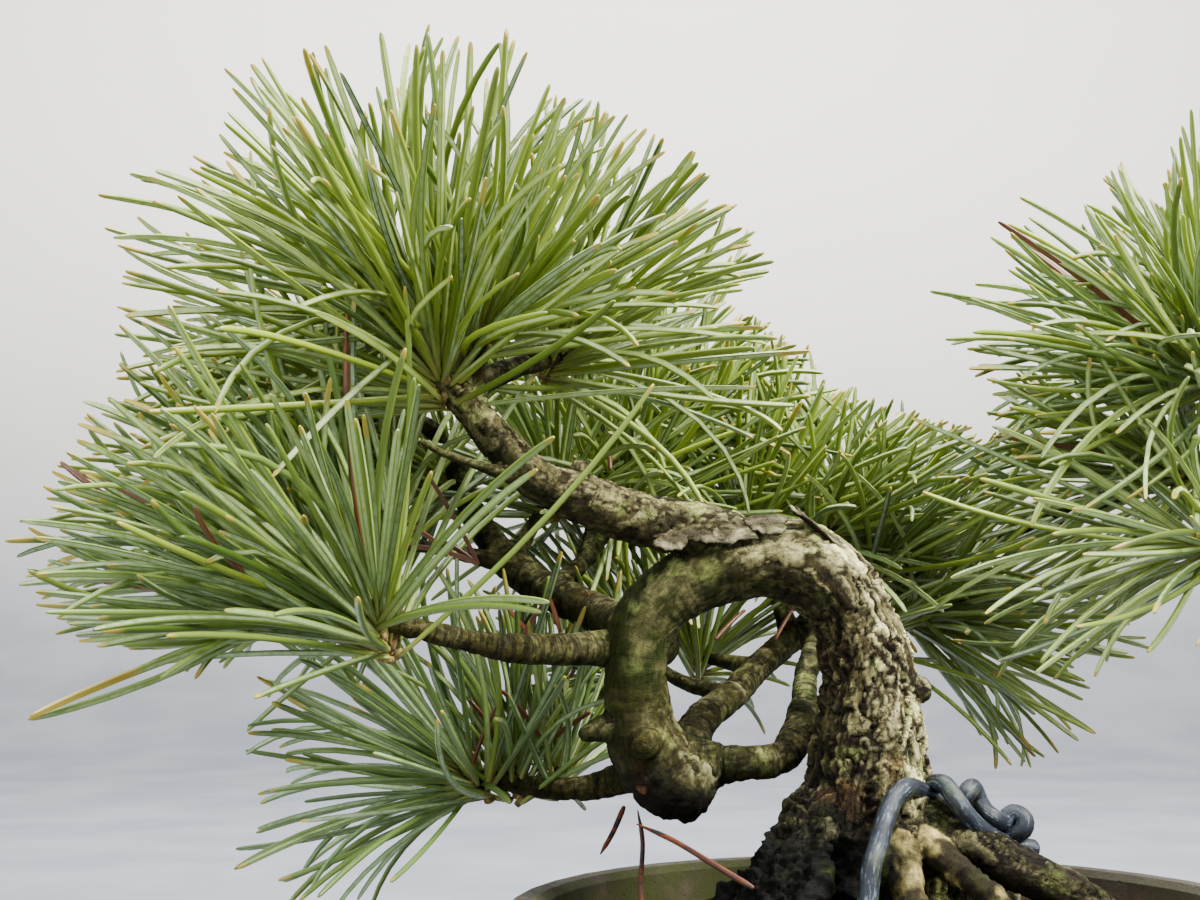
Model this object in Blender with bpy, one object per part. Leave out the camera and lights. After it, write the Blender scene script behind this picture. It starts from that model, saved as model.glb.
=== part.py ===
"""A Japanese white pine trained as a small bonsai, rooted in a round unglazed pot.

The wood (roots, trunk, limbs and twigs) grew as one piece and is one body.
Every tuft of needles, the soil, the pot, the two drainage meshes with their clips,
the tie wire that holds the root base down and a few fallen needles are bodies of their own.

Lengths in the tables are millimetres, measured from the centre of the pot: x to the
right, y away from the front, z up. Heights in the tables are those over the ground with
the rim at TABLE_RIM; the whole tree follows the rim when POT_HEIGHT changes.
"""

import math

import bmesh
import bpy
import numpy as np

MM = 0.001  # one millimetre in metres
GAP = 0.3  # clearance kept between pieces that touch, mm

# Pot
POT_RIM_RADIUS = 48.8
POT_HEIGHT = 34.0
TABLE_RIM = 34.0  # height of the rim that the tables below are written for
POT_WALL = 4.2
POT_FLOOR = 4.5
POT_FOOT_RADIUS = 37.0  # outer radius where the wall meets the floor
FOOT_HEIGHT = 5.0
FOOT_COUNT = 3
FOOT_LENGTH = 16.0
FOOT_WIDTH = 6.0
FOOT_RING = 31.5  # distance of the feet from the middle
POT_SEGMENTS = 40
DRAIN_OFFSET = 16.0  # the drainage holes sit left and right of the middle
DRAIN_RADIUS = 4.5
TIE_HOLE_FRONT = (-8.0, -19.0)
TIE_HOLE_BACK = (-5.0, 19.0)

# Soil
SOIL_BELOW_RIM = 7.5  # at the wall
SOIL_MOUND = 5.0  # rise of the soil against the root base
SOIL_ROUGH = 0.5
SOIL_CLEAR = 0.45  # between the soil and the wall

# Drainage meshes and their clips
MESH_CELLS = 5
MESH_PITCH = 2.6
MESH_BAR = 0.9
MESH_THICK = 0.8
CLIP_WIRE = 0.5  # radius
CLIP_REACH = 7.5

# Tie wire
WIRE_RADIUS = 1.25
TIE_HOLE_CLEAR = 1.05  # room round the wire in its holes through the floor
TWIST_CLEAR = 0.7  # between the two strands of the twist
TWIST_TURN = 6.4  # length of one turn, in wire radii
TWIST_START = (7.2, -5.2, 49.6)
TWIST_END = (15.4, -3.4, 43.6)
TWIST_FROM = 2.4  # angle of the first strand where the twist starts
TIE_TABLE_RADIUS = 1.25  # wire radius that the two routes below are written for
TIE_FRONT = [(3.6, -9.2, 49.4), (0.4, -10.9, 47.8), (-2.6, -12.2, 45), (-5, -14.4, 41), (-6.6, -16, 36.4), (-7.6, -17.8, 30)]
TIE_BACK = [(7.4, 0.6, 49.6), (5.8, 6, 48), (2, 10.2, 45.6), (-1.6, 13.4, 41.4), (-2.6, 16.2, 36), (-3.4, 18, 30)]
TRUNK_FOOT = (-3.7, 0.0)

# Wood: name: (sides, [(x, y, z, radius), ...])
LIMBS = {
    "trunk": (14, [
        (-4, 3, 20, 12), (-4, 2, 28, 14.5), (-4, 1.5, 34, 13), (-4, 0.5, 40.5, 10.6),
        (-3.7, 0, 46.5, 8.6), (-3.5, 0, 52, 7.3), (-3.5, 0, 59, 6.1), (-4, 0, 65, 5.5),
        (-5.8, 0, 70, 5.2), (-8.7, 0, 73.8, 5.2), (-13, 0, 76, 5.1), (-18, 0, 76, 4.7),
        (-23, 0, 74.7, 4.5), (-27.5, 0, 72.3, 4.2), (-31, 0, 68.6, 4), (-32.2, 0, 64, 3.8),
        (-32, 1, 59, 4.1), (-31, 2, 54, 4.7), (-28.5, 3, 50, 5.2), (-25.5, 3, 48.3, 4.8),
    ]),
    "upper_limb": (10, [
        (-17, 0, 76.5, 3.4), (-24, -1, 79.5, 3.6), (-30, -3, 80.8, 3.3), (-35, -5, 82, 3.2),
        (-39.5, -7, 83.5, 2.9), (-44.5, -9, 85.5, 2.5), (-49, -10, 90, 2.4),
        (-53, -10, 94.5, 1.9), (-55.5, -10.3, 97.3, 1.3), (-56.2, -11, 98.8, 0.9),
    ]),
    "fork_limb": (8, [
        (-52.5, -9.5, 94.3, 1.6), (-51.5, -6, 97.5, 1.5), (-48.5, -2, 99.7, 1.4),
        (-44.5, 2, 101.7, 1.3), (-42, 5, 103.2, 1.2), (-41, 5.8, 104.1, 0.9),
    ]),
    "dead_twig": (6, [
        (-45, -8.5, 85.5, 1.4), (-48, -11.4, 85.8, 0.8), (-51.5, -13, 86.8, 0.6),
        (-55, -14, 88, 0.55), (-57.5, -15, 89.3, 0.45),
    ]),
    "dead_spur": (6, [(-52, -8, 96, 1), (-51, -10.5, 98.5, 0.6), (-50, -11.5, 101.5, 0.45)]),
    "top_stub": (6, [(-39, -7, 84, 1.6), (-39.1, -7.3, 87.4, 0.9)]),
    "middle_limb": (10, [
        (-31, 2, 65.3, 2.6), (-36.5, 0, 65.2, 2.05), (-41.5, -4, 65.1, 1.9),
        (-47, -8, 65.3, 1.75), (-52, -11, 66.1, 1.4), (-56, -13, 67.1, 1.3),
        (-60, -15, 68, 1.1), (-62.7, -16, 68.4, 0.85),
    ]),
    "middle_tip": (6, [
        (-61.5, -15.6, 68.3, 0.8), (-66, -15, 67.9, 0.6), (-70.5, -13, 67.9, 0.55), (-72.9, -12.1, 68.8, 0.5),
    ]),
    "back_left_limb": (10, [
        (-30.5, 2, 66, 2.8), (-36.5, 14, 69.5, 2.6), (-43.5, 22, 73, 2.5), (-50, 27, 77.5, 2.4),
        (-55, 28, 84.7, 2), (-58, 26, 93, 1.6), (-62, 23, 97, 1.2), (-67.5, 20.3, 99.5, 0.85),
    ]),
    "low_left_limb": (8, [
        (-27.5, 4, 50, 3), (-32.5, 12, 48.8, 2.3), (-37.3, 16, 47, 1.75), (-42.6, 17, 46.6, 1.5),
        (-48, 17, 47.3, 1.3), (-52.5, 16, 48.2, 1), (-54.8, 15.3, 48.7, 0.8),
    ]),
    "curl_limb": (8, [
        (-26, 3.5, 50.3, 3.4), (-21.5, 3, 50.9, 2.4), (-18, 2, 51, 2.1), (-14, 3.5, 51.6, 2.1),
        (-11.5, 7.5, 54, 2.2), (-10, 12, 58, 1.8), (-9, 16, 62, 1.6), (-6, 23, 68, 1.5),
        (-4, 30, 74, 1.3), (-2.5, 36, 80, 1.1), (-1.5, 40.5, 84, 0.85),
    ]),
    "curl_stub": (6, [(-10.6, 10.4, 56.6, 1.6), (-7.9, 11.4, 57.4, 0.9)]),
    "back_right_limb": (8, [
        (-26.5, 5, 51, 2.9), (-23.5, 14, 55.5, 2.2), (-18.3, 22, 59, 2.1), (-13.8, 30, 62.7, 2),
        (-7.5, 40, 67, 1.9), (0, 46, 72.3, 1.8), (10, 54, 74, 1.7), (22, 56, 80, 1.7),
        (33, 48, 85, 1.7), (44, 36, 89, 1.6), (52, 26, 93, 1.5), (58, 20, 96, 1.3),
    ]),
    "cone_stub": (8, [(-32, 1, 56.8, 2.4), (-35.5, 0, 55.7, 1.7), (-38.6, -1, 54.7, 0.9)]),
    "callus": (8, [(-31, 0, 54, 2), (-31.2, -3.4, 53.6, 1.5)]),
    "cut_stub": (6, [(-30.5, 0.5, 51.5, 1.3), (-31.2, -0.5, 48.3, 0.9)]),
    "bark_knob": (8, [(-1, -1, 60.5, 3), (3.2, -1.5, 60.2, 1.6)]),
    "right_root": (10, [
        (-2, 0, 44, 4.5), (2.4, -4.6, 44.4, 3.3), (8.5, -7.4, 41.4, 2.9), (15, -8, 38.4, 2.6),
        (20, -8, 36, 2.3), (25, -7, 32, 2), (29, -6, 27, 1.6), (31, -5, 22, 1.2),
    ]),
    "pale_root_a": (6, [
        (1, -6, 43.5, 1.9), (4.5, -12.5, 40, 1.5), (8.2, -16, 36.8, 1.4), (11, -18, 31, 1.3), (12, -19.5, 23, 1),
    ]),
    "pale_root_b": (6, [(-2, -8, 42.5, 2), (-1.2, -14, 36, 1.7), (-1.5, -16.5, 30, 1.5), (-1.5, -17.5, 23, 1.1)]),
    "pale_root_c": (6, [(-10, -6, 41, 1.8), (-12.5, -12.2, 37, 1.4), (-13.5, -15.5, 31, 1.3), (-14, -17.5, 24, 1)]),
    "left_root": (10, [
        (-9, -2, 43, 4.5), (-14.5, -6.5, 38.5, 4), (-18, -10, 33, 3.4), (-21, -12, 28, 2.8), (-22, -13, 22, 2),
    ]),
    "back_root_a": (8, [(-6, 5, 40, 5), (-10.5, 13, 34, 3.6), (-14, 19, 28, 2.6), (-16, 23, 21, 1.8)]),
    "back_root_b": (8, [(-2, 5, 40, 5), (5, 13, 34, 3.6), (10, 19, 28, 2.6), (13, 22, 21, 1.8)]),
    "right_back_root": (8, [(1, 1, 42, 4.3), (9, 4, 37, 3.2), (15, 7, 31.5, 2.6), (19, 9, 26, 2), (21, 10, 21, 1.5)]),
    "left_back_root": (8, [(-9, 1, 41.5, 4.3), (-17, 4, 35, 3), (-23, 7, 29, 2.3), (-26, 9, 22, 1.6)]),
}

FINE_LIMBS = ("trunk", "upper_limb")  # routes drawn with twice the rings

# Twigs that end in a tuft, hidden by the needles: tuft name: route as above
TWIGS = {
    "apex_mid": [(-55, -10, 96.6, 1), (-54.6, -7.6, 100, 0.9), (-54.6, -5.8, 103, 0.8)],
    "apex_right": [(-53.5, -9.5, 95.5, 1), (-51.6, -10, 100, 0.9), (-49.8, -9, 104.3, 0.8)],
    "apex_left": [(-55.6, -10.2, 97, 1), (-59.4, -8.2, 102.4, 0.9), (-61, -5.4, 107.8, 0.8)],
    "apex_top": [(-58.9, -8.4, 102, 0.9), (-60.6, -1.2, 105.6, 0.85), (-63.6, 4.4, 111.2, 0.8)],
    "mid_left": [(-65, -15.1, 68, 0.8), (-67.2, -12, 69, 0.8), (-68.8, -9, 70.4, 0.8)],
    "mid_inner": [(-58.5, -14.2, 67.7, 1), (-63, -7.5, 70.6, 0.9), (-69, -1.5, 73.6, 0.85), (-74, 3.3, 76, 0.8)],
    "mid_back": [(-49, 26.4, 76.8, 1.3), (-58, 21, 78.6, 1), (-65, 14, 79.3, 0.9), (-68.6, 10.7, 79.3, 0.8)],
    "back_left_low": [(-55.6, 27.8, 86, 1.2), (-59.4, 29.6, 88.4, 0.9), (-62.2, 30.2, 89.6, 0.8)],
    "low_left_down": [(-51.5, 16.3, 48, 0.9), (-53.6, 18.6, 46.8, 0.85), (-54.8, 20, 45.6, 0.8)],
    "low_spur_up": [(-48.2, 17, 47.3, 1), (-48.6, 18.6, 49.6, 0.8)],
    "low_spur_right": [(-42.4, 17, 46.6, 1.1), (-42.2, 21, 47.8, 0.9), (-42, 23.6, 48.9, 0.8)],
    "mid_rear_up": [(-49.4, 26.6, 77.2, 1.3), (-46.2, 31, 83, 1), (-43, 33.8, 89, 0.8)],
    "arch_back_up": [(-43, 21.6, 72.8, 1.5), (-37.8, 30, 79, 1.1), (-34, 35.4, 84.4, 0.95), (-32.1, 37.6, 88, 0.8)],
    "rear_top": [(-38.6, 28.8, 78, 1.1), (-36.4, 39, 88, 0.95), (-31.4, 43, 94.8, 0.9), (-28.3, 43.9, 99.1, 0.8)],
    "arch_back_right": [(-8.2, 39, 66.5, 1.4), (-11, 41, 76, 1), (-13.4, 41.9, 83.4, 0.8)],
    "trunk_back_up": [(1, 46.7, 72.5, 1.3), (5.6, 45, 76, 0.9), (7.2, 44.4, 78.8, 0.8)],
    "trunk_back_right": [(8, 52.5, 73.6, 1.3), (12.6, 50, 71, 0.9), (15.4, 48.4, 70.2, 0.8)],
    "trunk_back_low": [(-7.5, 40, 66.8, 1.3), (-1, 42, 64.6, 1), (5, 43.8, 64, 0.8)],
    "gap_back": [(-14.4, 29.2, 62.2, 1.3), (-18.6, 36, 63.2, 1), (-22.2, 41, 63.8, 0.8)],
    "gap_left": [(-18.8, 21.4, 58.6, 1.3), (-25.4, 30, 60.6, 1), (-30.4, 37.2, 64.2, 0.8)],
    "right_front": [(57.4, 20.6, 95.7, 1), (52.6, 19, 101, 0.95), (48.6, 18.2, 103, 0.85), (45.4, 18, 103, 0.8)],
    "right_up": [(53.4, 19.4, 100.2, 0.95), (51.6, 20.6, 104.6, 0.85), (49.8, 20.4, 108.4, 0.8)],
    "right_low": [(57.6, 20.2, 95.8, 1), (56, 15, 88, 0.95), (51, 12.6, 81.6, 0.9), (44, 12, 79, 0.8)],
    "right_mid": [(44.6, 35.2, 89.2, 1.2), (44.4, 30, 89.8, 0.9), (43.9, 27, 90.2, 0.8)],
    "right_far": [(58, 20, 96, 1.2), (60.6, 17.4, 99, 0.9), (61.4, 16.4, 101, 0.8)],
    "right_end": [(58, 20, 96, 1.2), (61.4, 20.6, 94.4, 0.9), (63.4, 20.4, 93.2, 0.8)],
}

TWIG_SIDES = 5

# Tufts on the ends of limbs named above: tuft name: limb that carries it
TUFT_ON_LIMB = {
    "apex_front": "upper_limb",
    "fork_end": "fork_limb",
    "mid_front": "middle_limb",
    "left_tip": "middle_tip",
    "back_left_high": "back_left_limb",
    "low_left_up": "low_left_limb",
    "trunk_back_mid": "curl_limb",
}

# Tufts: name: (direction the shoot points, needle length)
TUFTS = {
    "apex_front": ((-0.2, -0.45, 0.87), 37),
    "mid_front": ((-0.15, -0.55, 0.82), 39),
    "left_tip": ((-0.94, -0.3, -0.1), 33),
    "low_left_up": ((-0.8, -0.25, 0.55), 33),
    "low_left_down": ((-0.88, -0.1, -0.46), 33),
    "fork_end": ((0.63, -0.1, 0.77), 32),
    "apex_right": ((0.6, -0.3, 0.74), 33),
    "apex_left": ((-0.8, -0.3, 0.5), 37),
    "apex_mid": ((0.1, 0.2, 0.97), 33),
    "apex_top": ((-0.5, 0.1, 0.86), 26),
    "mid_left": ((-0.86, -0.3, 0.4), 36),
    "mid_inner": ((-0.92, 0, 0.4), 34),
    "mid_back": ((-0.72, 0.05, 0.69), 35),
    "back_left_high": ((-0.88, -0.05, 0.47), 34),
    "back_left_low": ((-0.9, 0.35, 0.25), 30),
    "low_spur_up": ((0.05, 0.15, 0.99), 24),
    "low_spur_right": ((0.4, 0.6, 0.7), 27),
    "mid_rear_up": ((-0.05, 0.3, 0.95), 30),
    "arch_back_up": ((0.3, -0.1, 0.95), 31),
    "rear_top": ((0.75, 0.3, 0.6), 27),
    "arch_back_right": ((0.45, 0.05, 0.89), 31),
    "trunk_back_mid": ((0.55, 0.1, 0.83), 28),
    "trunk_back_up": ((0.7, 0, 0.7), 33),
    "trunk_back_right": ((0.93, -0.2, 0.3), 34),
    "trunk_back_low": ((0.88, -0.25, -0.4), 33),
    "gap_back": ((0, 0.5, 0.87), 24),
    "gap_left": ((-0.55, 0.4, 0.73), 26),
    "right_front": ((-0.93, -0.25, 0.3), 34),
    "right_up": ((-0.45, -0.1, 0.89), 30),
    "right_low": ((-0.88, -0.35, 0.3), 33),
    "right_mid": ((-0.96, 0.05, 0.25), 28),
    "right_far": ((0.35, -0.1, 0.93), 30),
    "right_end": ((0.95, -0.1, 0.2), 27),
}
SHOOT_RADIUS = 1.75  # the short shoot that the needles stand on
SHOOT_STRETCH = 1.5
FAN_WARP = 0.6  # below 1 gathers the needles round the direction of the shoot
NEEDLE_FROM, NEEDLE_UNTIL = 12.0, 118.0  # degrees from the shoot where long needles stand
NEEDLE_CLEAR = 0.35
NEEDLE_STUB = 4.0  # a needle with less room than this is left out

# Fallen needles: route of each
FALLEN = {
    "fallen_needle_1": [(-31, 6, 30.6), (-31.5, 8, 35), (-31.2, 9, 40.5), (-31.8, 9.5, 44.5)],
    "fallen_needle_2": [(-19.5, -15.6, 38.6), (-23.5, -12, 40.6), (-28, -7.4, 42.8), (-32.2, -3, 44.2)],
    "fallen_needle_3": [(-20, -17, 31.6), (-26, -13, 31), (-31, -5, 30.6), (-33, 2, 30.4)],
    "fallen_needle_4": [(-33.6, 8.8, 45), (-35, 7.6, 42), (-36.6, 6, 39.5)],
    "fallen_needle_5": [(18, -20, 30.4), (24, -15, 30.6), (31, -12, 30.4), (37, -6, 29.8)],
}
FALLEN_RADIUS = 0.42


def clear_scene():
    for obj in list(bpy.data.objects):
        bpy.data.objects.remove(obj, do_unlink=True)


def material(name, colour, roughness, metallic=0.0):
    made = bpy.data.materials.new(name)
    made.use_nodes = True
    shader = next(node for node in made.node_tree.nodes if node.type == "BSDF_PRINCIPLED")
    shader.inputs["Base Color"].default_value = (*colour, 1.0)
    shader.inputs["Roughness"].default_value = roughness
    shader.inputs["Metallic"].default_value = metallic
    made.diffuse_color = (*colour, 1.0)
    return made


def add_object(name, verts, faces, finish=None, smooth=False):
    """A mesh object from points in millimetres."""
    mesh = bpy.data.meshes.new(name)
    mesh.from_pydata((np.asarray(verts, float) * MM).tolist(), [], [list(map(int, face)) for face in faces])
    mesh.validate()
    obj = bpy.data.objects.new(name, mesh)
    bpy.context.scene.collection.objects.link(obj)
    work = bmesh.new()
    work.from_mesh(mesh)
    bmesh.ops.recalc_face_normals(work, faces=work.faces)
    work.to_mesh(mesh)
    work.free()
    mesh.polygons.foreach_set("use_smooth", [smooth] * len(mesh.polygons))
    if finish:
        mesh.materials.append(finish)
    return obj


def combine(target, others, operation):
    """Joins the others to the target or cuts them from it, one at a time, and removes them."""
    for other in others:
        modifier = target.modifiers.new("join", "BOOLEAN")
        modifier.operation = operation
        modifier.solver = "EXACT"
        modifier.object = other
        graph = bpy.context.evaluated_depsgraph_get()
        result = bpy.data.meshes.new_from_object(target.evaluated_get(graph))
        target.modifiers.clear()
        target.data = result
        bpy.data.objects.remove(other, do_unlink=True)
    return target


def lifted(points):
    """A table's points, moved with the rim of the pot."""
    points = np.array(points, float)
    points[:, 2] += POT_HEIGHT - TABLE_RIM
    return points


def smooth_route(points, steps):
    """A Catmull-Rom curve through the points, with this many steps between each pair."""
    points = np.asarray(points, float)
    if steps < 2 or len(points) < 3:
        return points
    first, second = points[:-1], points[1:]
    after = np.vstack([points[2:], 2 * points[-1] - points[-2]])
    before = np.vstack([2 * points[0] - points[1], points[:-2]])
    t = (np.arange(steps) / steps)[None, :, None]
    a, b, c, d = before[:, None], first[:, None], second[:, None], after[:, None]
    curve = 0.5 * (2 * b + (c - a) * t + (2 * a - 5 * b + 4 * c - d) * t**2 + (3 * b - a - 3 * c + d) * t**3)
    return np.vstack([curve.reshape(-1, points.shape[1]), points[-1:]])


def tube_mesh(route, sides, knobbly=0.0, phase=0.0):
    """Points and faces of a closed tube along rows of (x, y, z, radius), with a low dome on each end."""
    route = np.asarray(route, float)
    centres, radii = route[:, :3], route[:, 3]
    tangents = np.gradient(centres, axis=0)
    tangents /= np.linalg.norm(tangents, axis=1, keepdims=True)
    side = np.cross(tangents[0], (0.31, 0.95, 0.07))
    side /= np.linalg.norm(side)
    angles = np.arange(sides) * 2 * math.pi / sides
    rings = []

    def ring(centre, tangent, radius, row):
        other = np.cross(tangent, side)
        swell = 1 + knobbly * (np.sin(3 * angles + 0.9 * row + phase) + 0.6 * np.sin(2 * angles - 1.7 * row + 2 * phase))
        spread = np.outer(np.cos(angles), side) + np.outer(np.sin(angles), other)
        rings.append(centre + spread * (radius * swell)[:, None])

    ring(centres[0] - 0.35 * radii[0] * tangents[0], tangents[0], 0.72 * radii[0], 0)
    for row, (centre, tangent, radius) in enumerate(zip(centres, tangents, radii)):
        side = side - tangent * side.dot(tangent)
        side /= np.linalg.norm(side)
        ring(centre, tangent, radius, row)
    ring(centres[-1] + 0.35 * radii[-1] * tangents[-1], tangents[-1], 0.72 * radii[-1], len(radii))
    verts = np.vstack([*rings, centres[:1] - 0.5 * radii[0] * tangents[:1], centres[-1:] + 0.5 * radii[-1] * tangents[-1:]])
    rows = len(rings)
    faces = []
    for row in range(rows - 1):
        for k in range(sides):
            a, b = row * sides + k, row * sides + (k + 1) % sides
            faces.append((a, b, b + sides, a + sides))
    start, end = len(verts) - 2, len(verts) - 1
    for k in range(sides):
        faces.append((start, (k + 1) % sides, k))
        faces.append((end, (rows - 1) * sides + k, (rows - 1) * sides + (k + 1) % sides))
    return verts, faces


def lathe_mesh(profile, segments):
    """A closed body turned from a profile of (radius, z) whose first and last points are on the axis."""
    inner = np.asarray(profile[1:-1], float)
    angles = np.arange(segments) * 2 * math.pi / segments
    rings = [np.column_stack([r * np.cos(angles), r * np.sin(angles), np.full(segments, z)]) for r, z in inner]
    verts = np.vstack([*rings, [[0, 0, profile[0][1]]], [[0, 0, profile[-1][1]]]])
    faces = []
    for row in range(len(inner) - 1):
        for k in range(segments):
            a, b = row * segments + k, row * segments + (k + 1) % segments
            faces.append((a, b, b + segments, a + segments))
    start, end = len(verts) - 2, len(verts) - 1
    last = (len(inner) - 1) * segments
    for k in range(segments):
        faces.append((start, (k + 1) % segments, k))
        faces.append((end, last + k, last + (k + 1) % segments))
    return verts, faces


def box_mesh(low, high):
    (x0, y0, z0), (x1, y1, z1) = low, high
    verts = [(x0, y0, z0), (x1, y0, z0), (x1, y1, z0), (x0, y1, z0), (x0, y0, z1), (x1, y0, z1), (x1, y1, z1), (x0, y1, z1)]
    faces = [(0, 3, 2, 1), (4, 5, 6, 7), (0, 1, 5, 4), (1, 2, 6, 5), (2, 3, 7, 6), (3, 0, 4, 7)]
    return verts, faces


def tube_object(name, route, sides, finish=None, knobbly=0.0, phase=0.0):
    return add_object(name, *tube_mesh(route, sides, knobbly, phase), finish=finish, smooth=True)


def upright(x, y, radius, low, high):
    """An upright rod, used to cut round holes."""
    return tube_object("cutter", [(x, y, low, radius), (x, y, high, radius)], 20)


# ---------------------------------------------------------------- pot and soil


def inner_wall(height):
    """Inner radius of the pot at this height."""
    floor = FOOT_HEIGHT + POT_FLOOR
    part = (height - floor) / (POT_HEIGHT - floor)
    low = POT_FOOT_RADIUS - POT_WALL - 1.5
    return low + (POT_RIM_RADIUS - POT_WALL - low) * math.sin(0.5 * math.pi * max(0.0, part)) ** 0.8


def make_pot(finish):
    floor = FOOT_HEIGHT + POT_FLOOR
    lip = POT_RIM_RADIUS
    span = POT_HEIGHT - FOOT_HEIGHT
    outside = [
        (POT_FOOT_RADIUS - 1.2, FOOT_HEIGHT),
        (POT_FOOT_RADIUS + 0.4, FOOT_HEIGHT + 1.2),
        (lip - 8.2, FOOT_HEIGHT + 0.22 * span),
        (lip - 4.2, FOOT_HEIGHT + 0.45 * span),
        (lip - 2.2, FOOT_HEIGHT + 0.68 * span),
        (lip - 1.4, FOOT_HEIGHT + 0.84 * span),
        (lip, FOOT_HEIGHT + 0.88 * span),
        (lip, POT_HEIGHT - 0.9),
        (lip - 0.9, POT_HEIGHT),
    ]
    depth = POT_HEIGHT - floor
    heights = [POT_HEIGHT - 0.9, *(floor + part * depth for part in (0.8, 0.55, 0.33, 0.12)), floor + 0.9]
    inside = [(inner_wall(POT_HEIGHT) + 0.9, POT_HEIGHT)] + [(inner_wall(z), z) for z in heights]
    inside.append((inner_wall(floor + 0.9) - 1.2, floor))
    profile = [(0, FOOT_HEIGHT), *outside, *inside, (0, floor)]
    pot = add_object("pot", *lathe_mesh(profile, POT_SEGMENTS), finish=finish, smooth=True)
    feet = []
    for k in range(FOOT_COUNT):
        turn = 2 * math.pi * k / FOOT_COUNT + math.pi / 6
        foot = add_object("foot", *foot_mesh(turn))
        feet.append(foot)
    combine(pot, feet, "UNION")
    holes = [upright(side * DRAIN_OFFSET, 0, DRAIN_RADIUS, -2, floor + 4) for side in (-1, 1)]
    holes += [upright(x, y, WIRE_RADIUS + TIE_HOLE_CLEAR, -2, floor + 4) for x, y in (TIE_HOLE_FRONT, TIE_HOLE_BACK)]
    return combine(pot, holes, "DIFFERENCE")


def foot_mesh(turn):
    """A low foot with chamfered ends, its long side along the rim."""
    half, deep = FOOT_LENGTH / 2, FOOT_WIDTH / 2
    outline = [(-deep, -half + 1.5), (-deep, half - 1.5), (-deep + 1.5, half), (deep - 1.5, half), (deep, half - 1.5), (deep, -half + 1.5), (deep - 1.5, -half), (-deep + 1.5, -half)]
    c, s = math.cos(turn), math.sin(turn)
    verts = []
    for scale, z in ((0.9, 0.0), (1.0, 0.8), (1.0, FOOT_HEIGHT + 1.0)):
        for x, y in outline:
            x, y = FOOT_RING + x * scale, y * scale
            verts.append((c * x - s * y, s * x + c * y, z))
    count = len(outline)
    faces = [tuple(range(count))[::-1], tuple(range(2 * count, 3 * count))]
    for row in range(2):
        for k in range(count):
            a, b = row * count + k, row * count + (k + 1) % count
            faces.append((a, b, b + count, a + count))
    return verts, faces


def soil_height(x, y):
    """The soil is mounded against the root base and lies lower at the wall."""
    far = np.hypot(x + 3, y) / (inner_wall(POT_HEIGHT) - 8.6)
    mound = POT_HEIGHT - SOIL_BELOW_RIM + SOIL_MOUND * np.clip(1 - far, 0, 1) ** 0.8
    return mound + SOIL_ROUGH * (np.sin(0.55 * x + 1.3) * np.cos(0.5 * y) + 0.5 * np.sin(1.1 * y + 0.4 * x))


def make_soil(finish):
    floor = FOOT_HEIGHT + POT_FLOOR
    bottom = floor + GAP
    rings, angles = [], np.arange(POT_SEGMENTS) * 2 * math.pi / POT_SEGMENTS
    top = POT_HEIGHT - SOIL_BELOW_RIM
    wall = [bottom, floor + 0.9, *(floor + part * (top - floor) for part in (0.18, 0.47, 0.8))]
    for k, z in enumerate(wall):
        radius = inner_wall(max(z, floor + 0.9)) - (1.2 if k == 0 else 0) - SOIL_CLEAR
        rings.append(np.column_stack([radius * np.cos(angles), radius * np.sin(angles), np.full(POT_SEGMENTS, z)]))
    for part in (1.0, 0.86, 0.7, 0.52, 0.34, 0.16):
        radius = (inner_wall(top - 1) - SOIL_CLEAR) * part
        x, y = radius * np.cos(angles), radius * np.sin(angles)
        rings.append(np.column_stack([x, y, soil_height(x, y)]))
    verts = np.vstack([*rings, [[0, 0, bottom]], [[0, 0, float(soil_height(0.0, 0.0))]]])
    faces, count = [], POT_SEGMENTS
    for row in range(len(rings) - 1):
        for k in range(count):
            a, b = row * count + k, row * count + (k + 1) % count
            faces.append((a, b, b + count, a + count))
    start, end, last = len(verts) - 2, len(verts) - 1, (len(rings) - 1) * count
    for k in range(count):
        faces.append((start, (k + 1) % count, k))
        faces.append((end, last + k, last + (k + 1) % count))
    soil = add_object("soil", verts, faces, finish=finish)
    cutters = []
    half = MESH_CELLS * MESH_PITCH / 2 + MESH_BAR / 2 + GAP
    for side in (-1, 1):
        middle = side * DRAIN_OFFSET
        recess = floor + GAP + MESH_THICK + GAP + 2 * CLIP_WIRE + 0.5
        cutters.append(add_object("cutter", *box_mesh((middle - half, -half, floor - 2), (middle + half, half, recess))))
    for name, (sides, points) in LIMBS.items():
        if name == "trunk" or name.endswith("root") or "_root_" in name:
            route = wood_route(name)
            low = route[:, 2] < top + SOIL_MOUND + 8
            route = route[low]
            route[:, 3] += GAP + 0.2 + 0.04 * route[:, 3]
            lengthen = route[-1 if name != "trunk" else 0]
            lengthen[2] -= 0.5
            cutters.append(tube_object("cutter", route, sides))
    for route in tie_wire_buried():
        cutters.append(tube_object("cutter", np.column_stack([route, np.full(len(route), WIRE_RADIUS + GAP + 0.15)]), 10))
    return combine(soil, cutters, "DIFFERENCE")


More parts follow.
